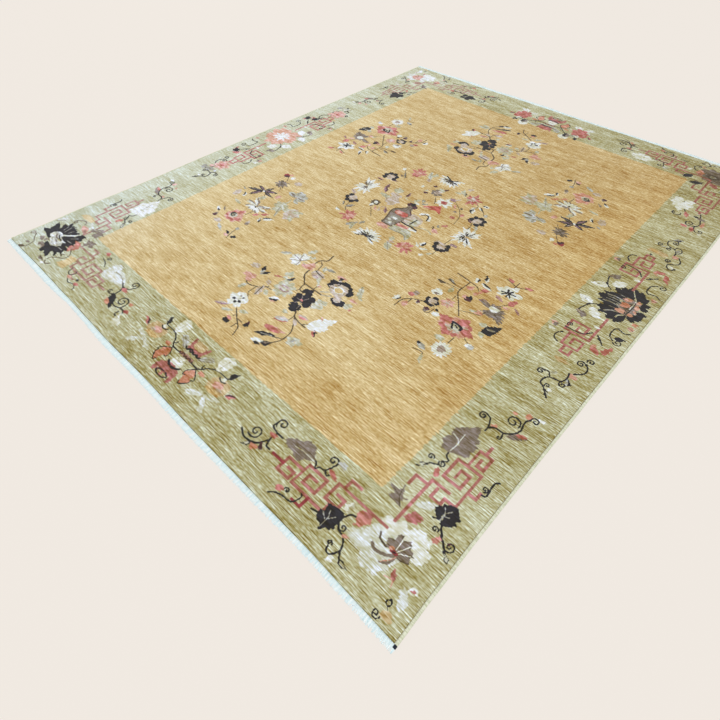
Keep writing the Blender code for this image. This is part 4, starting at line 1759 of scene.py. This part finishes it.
class Finish:
    """A material under construction, with short names for its nodes."""

    def __init__(self, name):
        self.material = bpy.data.materials.new(name)
        self.material.use_nodes = True
        self.tree = self.material.node_tree
        self.shader = self.tree.nodes["Principled BSDF"]

    def node(self, kind, **settings):
        """A new node with these settings."""
        made = self.tree.nodes.new(kind)
        for name, value in settings.items():
            setattr(made, name, value)
        return made

    def feed(self, socket, value):
        """Gives an input a number, a colour or another node's output."""
        if isinstance(value, (int, float)):
            socket.default_value = value
        elif isinstance(value, (tuple, list)):
            socket.default_value = (*value, 1.0)
        else:
            self.tree.links.new(value, socket)

    def place(self, scale):
        """Object coordinates, stretched to this many features a metre each way."""
        coords = self.node("ShaderNodeTexCoord")
        mapping = self.node("ShaderNodeMapping")
        mapping.inputs["Scale"].default_value = scale
        self.feed(mapping.inputs["Vector"], coords.outputs["Object"])
        return mapping.outputs["Vector"]

    def noise(self, scale, detail=2.0, rough=0.5):
        """A noise with this many features a metre each way."""
        made = self.node("ShaderNodeTexNoise")
        made.inputs["Scale"].default_value = 1.0
        made.inputs["Detail"].default_value = detail
        made.inputs["Roughness"].default_value = rough
        self.feed(made.inputs["Vector"], self.place(scale))
        return made.outputs["Fac"]

    def attribute(self, name, output):
        """A value that the mesh carries."""
        return self.node("ShaderNodeAttribute", attribute_name=name).outputs[output]

    def spread(self, value, low, high, to_low=0.0, to_high=1.0):
        """The value's run from low to high, stretched to a new run and held at its ends."""
        made = self.node("ShaderNodeMapRange")
        self.feed(made.inputs["Value"], value)
        for name, end in (("From Min", low), ("From Max", high),
                          ("To Min", to_low), ("To Max", to_high)):
            made.inputs[name].default_value = end
        return made.outputs["Result"]

    def math(self, operation, first, second):
        """This operation on two numbers."""
        made = self.node("ShaderNodeMath", operation=operation)
        self.feed(made.inputs[0], first)
        self.feed(made.inputs[1], second)
        return made.outputs[0]

    def total(self, *values):
        """All these values together."""
        whole = values[0]
        for value in values[1:]:
            whole = self.math("ADD", whole, value)
        return whole

    def product(self, first, second):
        """One value times another."""
        return self.math("MULTIPLY", first, second)

    def scaled(self, colour, amount):
        """The colour times a single number, which may be below nought."""
        made = self.node("ShaderNodeVectorMath", operation="SCALE")
        self.feed(made.inputs[0], colour)
        self.feed(made.inputs["Scale"], amount)
        return made.outputs[0]

    def mix(self, share, first, second, blend="MIX"):
        """This share of the second colour, blended with the first."""
        made = self.node("ShaderNodeMix", data_type="RGBA", blend_type=blend)
        self.feed(made.inputs[0], share)
        self.feed(made.inputs[6], first)
        self.feed(made.inputs[7], second)
        return made.outputs[2]

    def bump(self, height, strength, distance):
        """Small relief, as deep as this distance in metres."""
        made = self.node("ShaderNodeBump")
        made.inputs["Strength"].default_value = strength
        made.inputs["Distance"].default_value = distance
        self.feed(made.inputs["Height"], height)
        self.feed(self.shader.inputs["Normal"], made.outputs["Normal"])

    def finish(self, colour, roughness, sheen=WOOL_FUZZ):
        """The finished material."""
        self.feed(self.shader.inputs["Base Color"], colour)
        self.shader.inputs["Roughness"].default_value = roughness
        self.shader.inputs["Specular IOR Level"].default_value = WOOL_GLOSS
        self.shader.inputs["Sheen Weight"].default_value = sheen
        self.shader.inputs["Sheen Roughness"].default_value = 0.5
        return self.material


def paled(f, colour, amount):
    """The wool paled by this amount, or deepened below nought; black and white keep."""
    rest = f.mix(1.0, (1.0, 1.0, 1.0), colour, "SUBTRACT")
    room = f.mix(1.0, f.mix(1.0, colour, colour, "MULTIPLY"), rest, "MULTIPLY")
    lift = f.mix(1.0, room, (1.0, 1.23, 2.0), "MULTIPLY")
    return f.mix(1.0, colour, f.scaled(lift, amount), "ADD")


def lit(f, colour):
    """The colour of the chart's sRGB numbers, as light."""
    gamma = f.node("ShaderNodeGamma")
    gamma.inputs["Gamma"].default_value = 2.2
    f.feed(gamma.inputs["Color"], colour)
    return gamma.outputs["Color"]


def clipped_wool():
    """Clipped wool with the streaks of its hand-dyed yarn across the rug, dark furrows of painted shade
    between its rows, and painted sheen and shade with its fading.
    """
    f = Finish("clipped_wool")
    layers = {
        name: f.spread(f.noise(*look[:3]), *look[3:]) for name, look in WOOL_LOOK.items()
    }
    mottles = layers.pop("mottles")
    uneven_dye = f.attribute("wool", "Alpha")
    streaks = f.product(f.total(*layers.values()), f.attribute("streaking", "Fac"))
    streaks = f.product(streaks, f.spread(uneven_dye, 0.0, 1.0, 1.0, 0.4))
    # the attribute carries the wool's fading together with painted sheen and shade, and the painted shade
    # at the pile's foot
    amount = f.total(f.attribute("fading_and_painted_light", "Fac"), streaks, f.product(mottles, uneven_dye))
    colour = paled(f, f.attribute("wool", "Color"), amount)
    f.bump(f.total(layers["short"], f.noise((420.0, 420.0, 1.0), 1.0)), 0.3, 0.001)
    return f.finish(lit(f, colour), 0.95)


def woven_back():
    """The back, where each knot shows as a small flat bead of its wool, with painted shade in the gaps
    between the beads.
    """
    f = Finish("woven_back")
    wool = f.attribute("wool", "Color")
    beads = f.node("ShaderNodeTexVoronoi", feature="F1")
    beads.inputs["Scale"].default_value = 1.0
    beads.inputs["Randomness"].default_value = 0.15
    f.feed(beads.inputs["Vector"], f.place((1 / KNOT, 1 / KNOT, 1.0)))
    far = beads.outputs["Distance"]
    gap_shade = f.mix(1.0, wool, (0.78, 0.75, 0.7), "MULTIPLY")
    f.bump(f.spread(far, 0.0, 0.7, 1.0, 0.0), 0.5, 0.0008)
    return f.finish(lit(f, f.mix(f.spread(far, 0.2, 0.7), wool, gap_shade)), 0.95, sheen=0.0)


def wrapped_wool():
    """Wool wrapped round the side cord."""
    f = Finish("wrapped_wool")
    turns = f.spread(f.noise((60.0, 290.0, 60.0), 1.0), 0.35, 0.65)
    f.bump(f.noise((300.0, 900.0, 300.0)), 0.4, 0.0006)
    return f.finish(f.mix(turns, linear((196, 200, 168)), linear((228, 230, 208))), 0.9)


def warp_cotton():
    """Undyed warp yarn, a little uneven in its white, with blue-grey flecks of painted shade among its
    yarns.
    """
    f = Finish("warp_cotton")
    tone = f.spread(f.noise((150.0, 14.0, 20.0)), 0.35, 0.65)
    colour = f.mix(tone, linear((214, 236, 240)), linear((248, 255, 255)))
    shade_flecks = f.spread(f.noise((260.0, 150.0, 1.0)), 0.68, 0.74)
    f.bump(f.noise((900.0, 500.0, 900.0)), 0.3, 0.0004)
    return f.finish(f.mix(shade_flecks, colour, linear((120, 136, 166))), 0.9)


def corner_yarn():
    """Dark blue yarn, rubbed a little paler here and there."""
    f = Finish("corner_yarn")
    tone = f.spread(f.noise((300.0, 300.0, 300.0)), 0.3, 0.7)
    return f.finish(f.mix(tone, linear((20, 26, 40)), linear((52, 58, 74))), 0.9)


# ---------------------------------------------------------------- floor, light and camera

BACKDROP = (240, 233, 225)
GLOW = 0.93  # the share of the floor's paleness that no shadow reaches
PICTURE = 720  # pixels
LENS_PIXELS = 478.14
OPTICAL_AXIS_X = 341.22  # pixels from the picture's left edge
CAMERA_AT = (1.438, -2.0639, 1.5643)
CAMERA_AZIMUTH = 44.547  # degrees
CAMERA_DOWN = 49.885
CAMERA_ROLL = -0.057
SKY_STRENGTH = 0.87
LAMPS = {  # place, breadth and power
    "window_light": ((-5.5, 2.5, 4.0), 4.0, 80),
    "soft_light": ((2.0, -3.0, 4.5), 4.0, 40),
}


def floor():
    """A pale floor without an edge in sight."""
    bpy.ops.mesh.primitive_plane_add(size=60.0)
    plane = bpy.context.object
    plane.name = "floor"
    material = bpy.data.materials.new("pale_floor")
    material.use_nodes = True
    shader = material.node_tree.nodes["Principled BSDF"]
    shade = linear(BACKDROP)
    shader.inputs["Base Color"].default_value = (*[c * (1 - GLOW) for c in shade], 1.0)
    shader.inputs["Roughness"].default_value = 1.0
    shader.inputs["Specular IOR Level"].default_value = 0.0
    shader.inputs["Emission Color"].default_value = (*shade, 1.0)
    shader.inputs["Emission Strength"].default_value = GLOW
    plane.data.materials.append(material)


def lights():
    """An even white sky and two soft lamps."""
    world = bpy.data.worlds.new("studio")
    bpy.context.scene.world = world
    world.use_nodes = True
    sky = world.node_tree.nodes["Background"]
    sky.inputs["Color"].default_value = (1, 1, 1, 1)
    sky.inputs["Strength"].default_value = SKY_STRENGTH
    for name, (place, size, power) in LAMPS.items():
        lamp = bpy.data.lights.new(name, "AREA")
        lamp.shape = "DISK"
        lamp.size = size
        lamp.energy = power
        made = bpy.data.objects.new(name, lamp)
        bpy.context.scene.collection.objects.link(made)
        aim = (-Vector(place)).to_track_quat("-Z", "Y")
        made.matrix_world = Matrix.LocRotScale(Vector(place), aim, None)


def camera():
    """The camera, above the near right corner."""
    lens = bpy.data.cameras.new("camera")
    lens.sensor_width = 36.0
    lens.sensor_fit = "HORIZONTAL"
    lens.lens = LENS_PIXELS / PICTURE * lens.sensor_width
    lens.shift_x = (PICTURE / 2 - OPTICAL_AXIS_X) / PICTURE
    lens.clip_start = 0.05
    lens.clip_end = 200.0
    made = bpy.data.objects.new("camera", lens)
    bpy.context.scene.collection.objects.link(made)
    turn = Matrix.Rotation(math.radians(CAMERA_AZIMUTH), 4, "Z")
    tilt = Matrix.Rotation(math.radians(90 - CAMERA_DOWN), 4, "X")
    roll = Matrix.Rotation(math.radians(CAMERA_ROLL), 4, "Z")
    made.matrix_world = Matrix.Translation(CAMERA_AT) @ turn @ tilt @ roll
    bpy.context.scene.camera = made
    bpy.context.scene.view_settings.view_transform = "Standard"


# The solid that each of the trims stands for
TRIM_NODES = {
    "cord_left": "side_cord_left",
    "cord_right": "side_cord_right",
    "warp_ends_near": "end_fringe_near",
    "warp_ends_far": "end_fringe_far",
}


def dress_rug():
    """Makes the rug's pieces and puts each on the solids that it stands for."""
    carpet = pile(knotted_chart())
    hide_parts("knotted_pile")
    cords = [side_cord("cord_left", -1), side_cord("cord_right", 1)]
    ends = [fringe("warp_ends_near", -1), fringe("warp_ends_far", 1),
            web_rows("web_near", -1), web_rows("web_far", 1)]
    for piece in (carpet, *cords, *ends):
        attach(piece, "root")
        if piece.name in TRIM_NODES:
            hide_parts(TRIM_NODES[piece.name])


camera()
floor()
lights()
dress_rug()
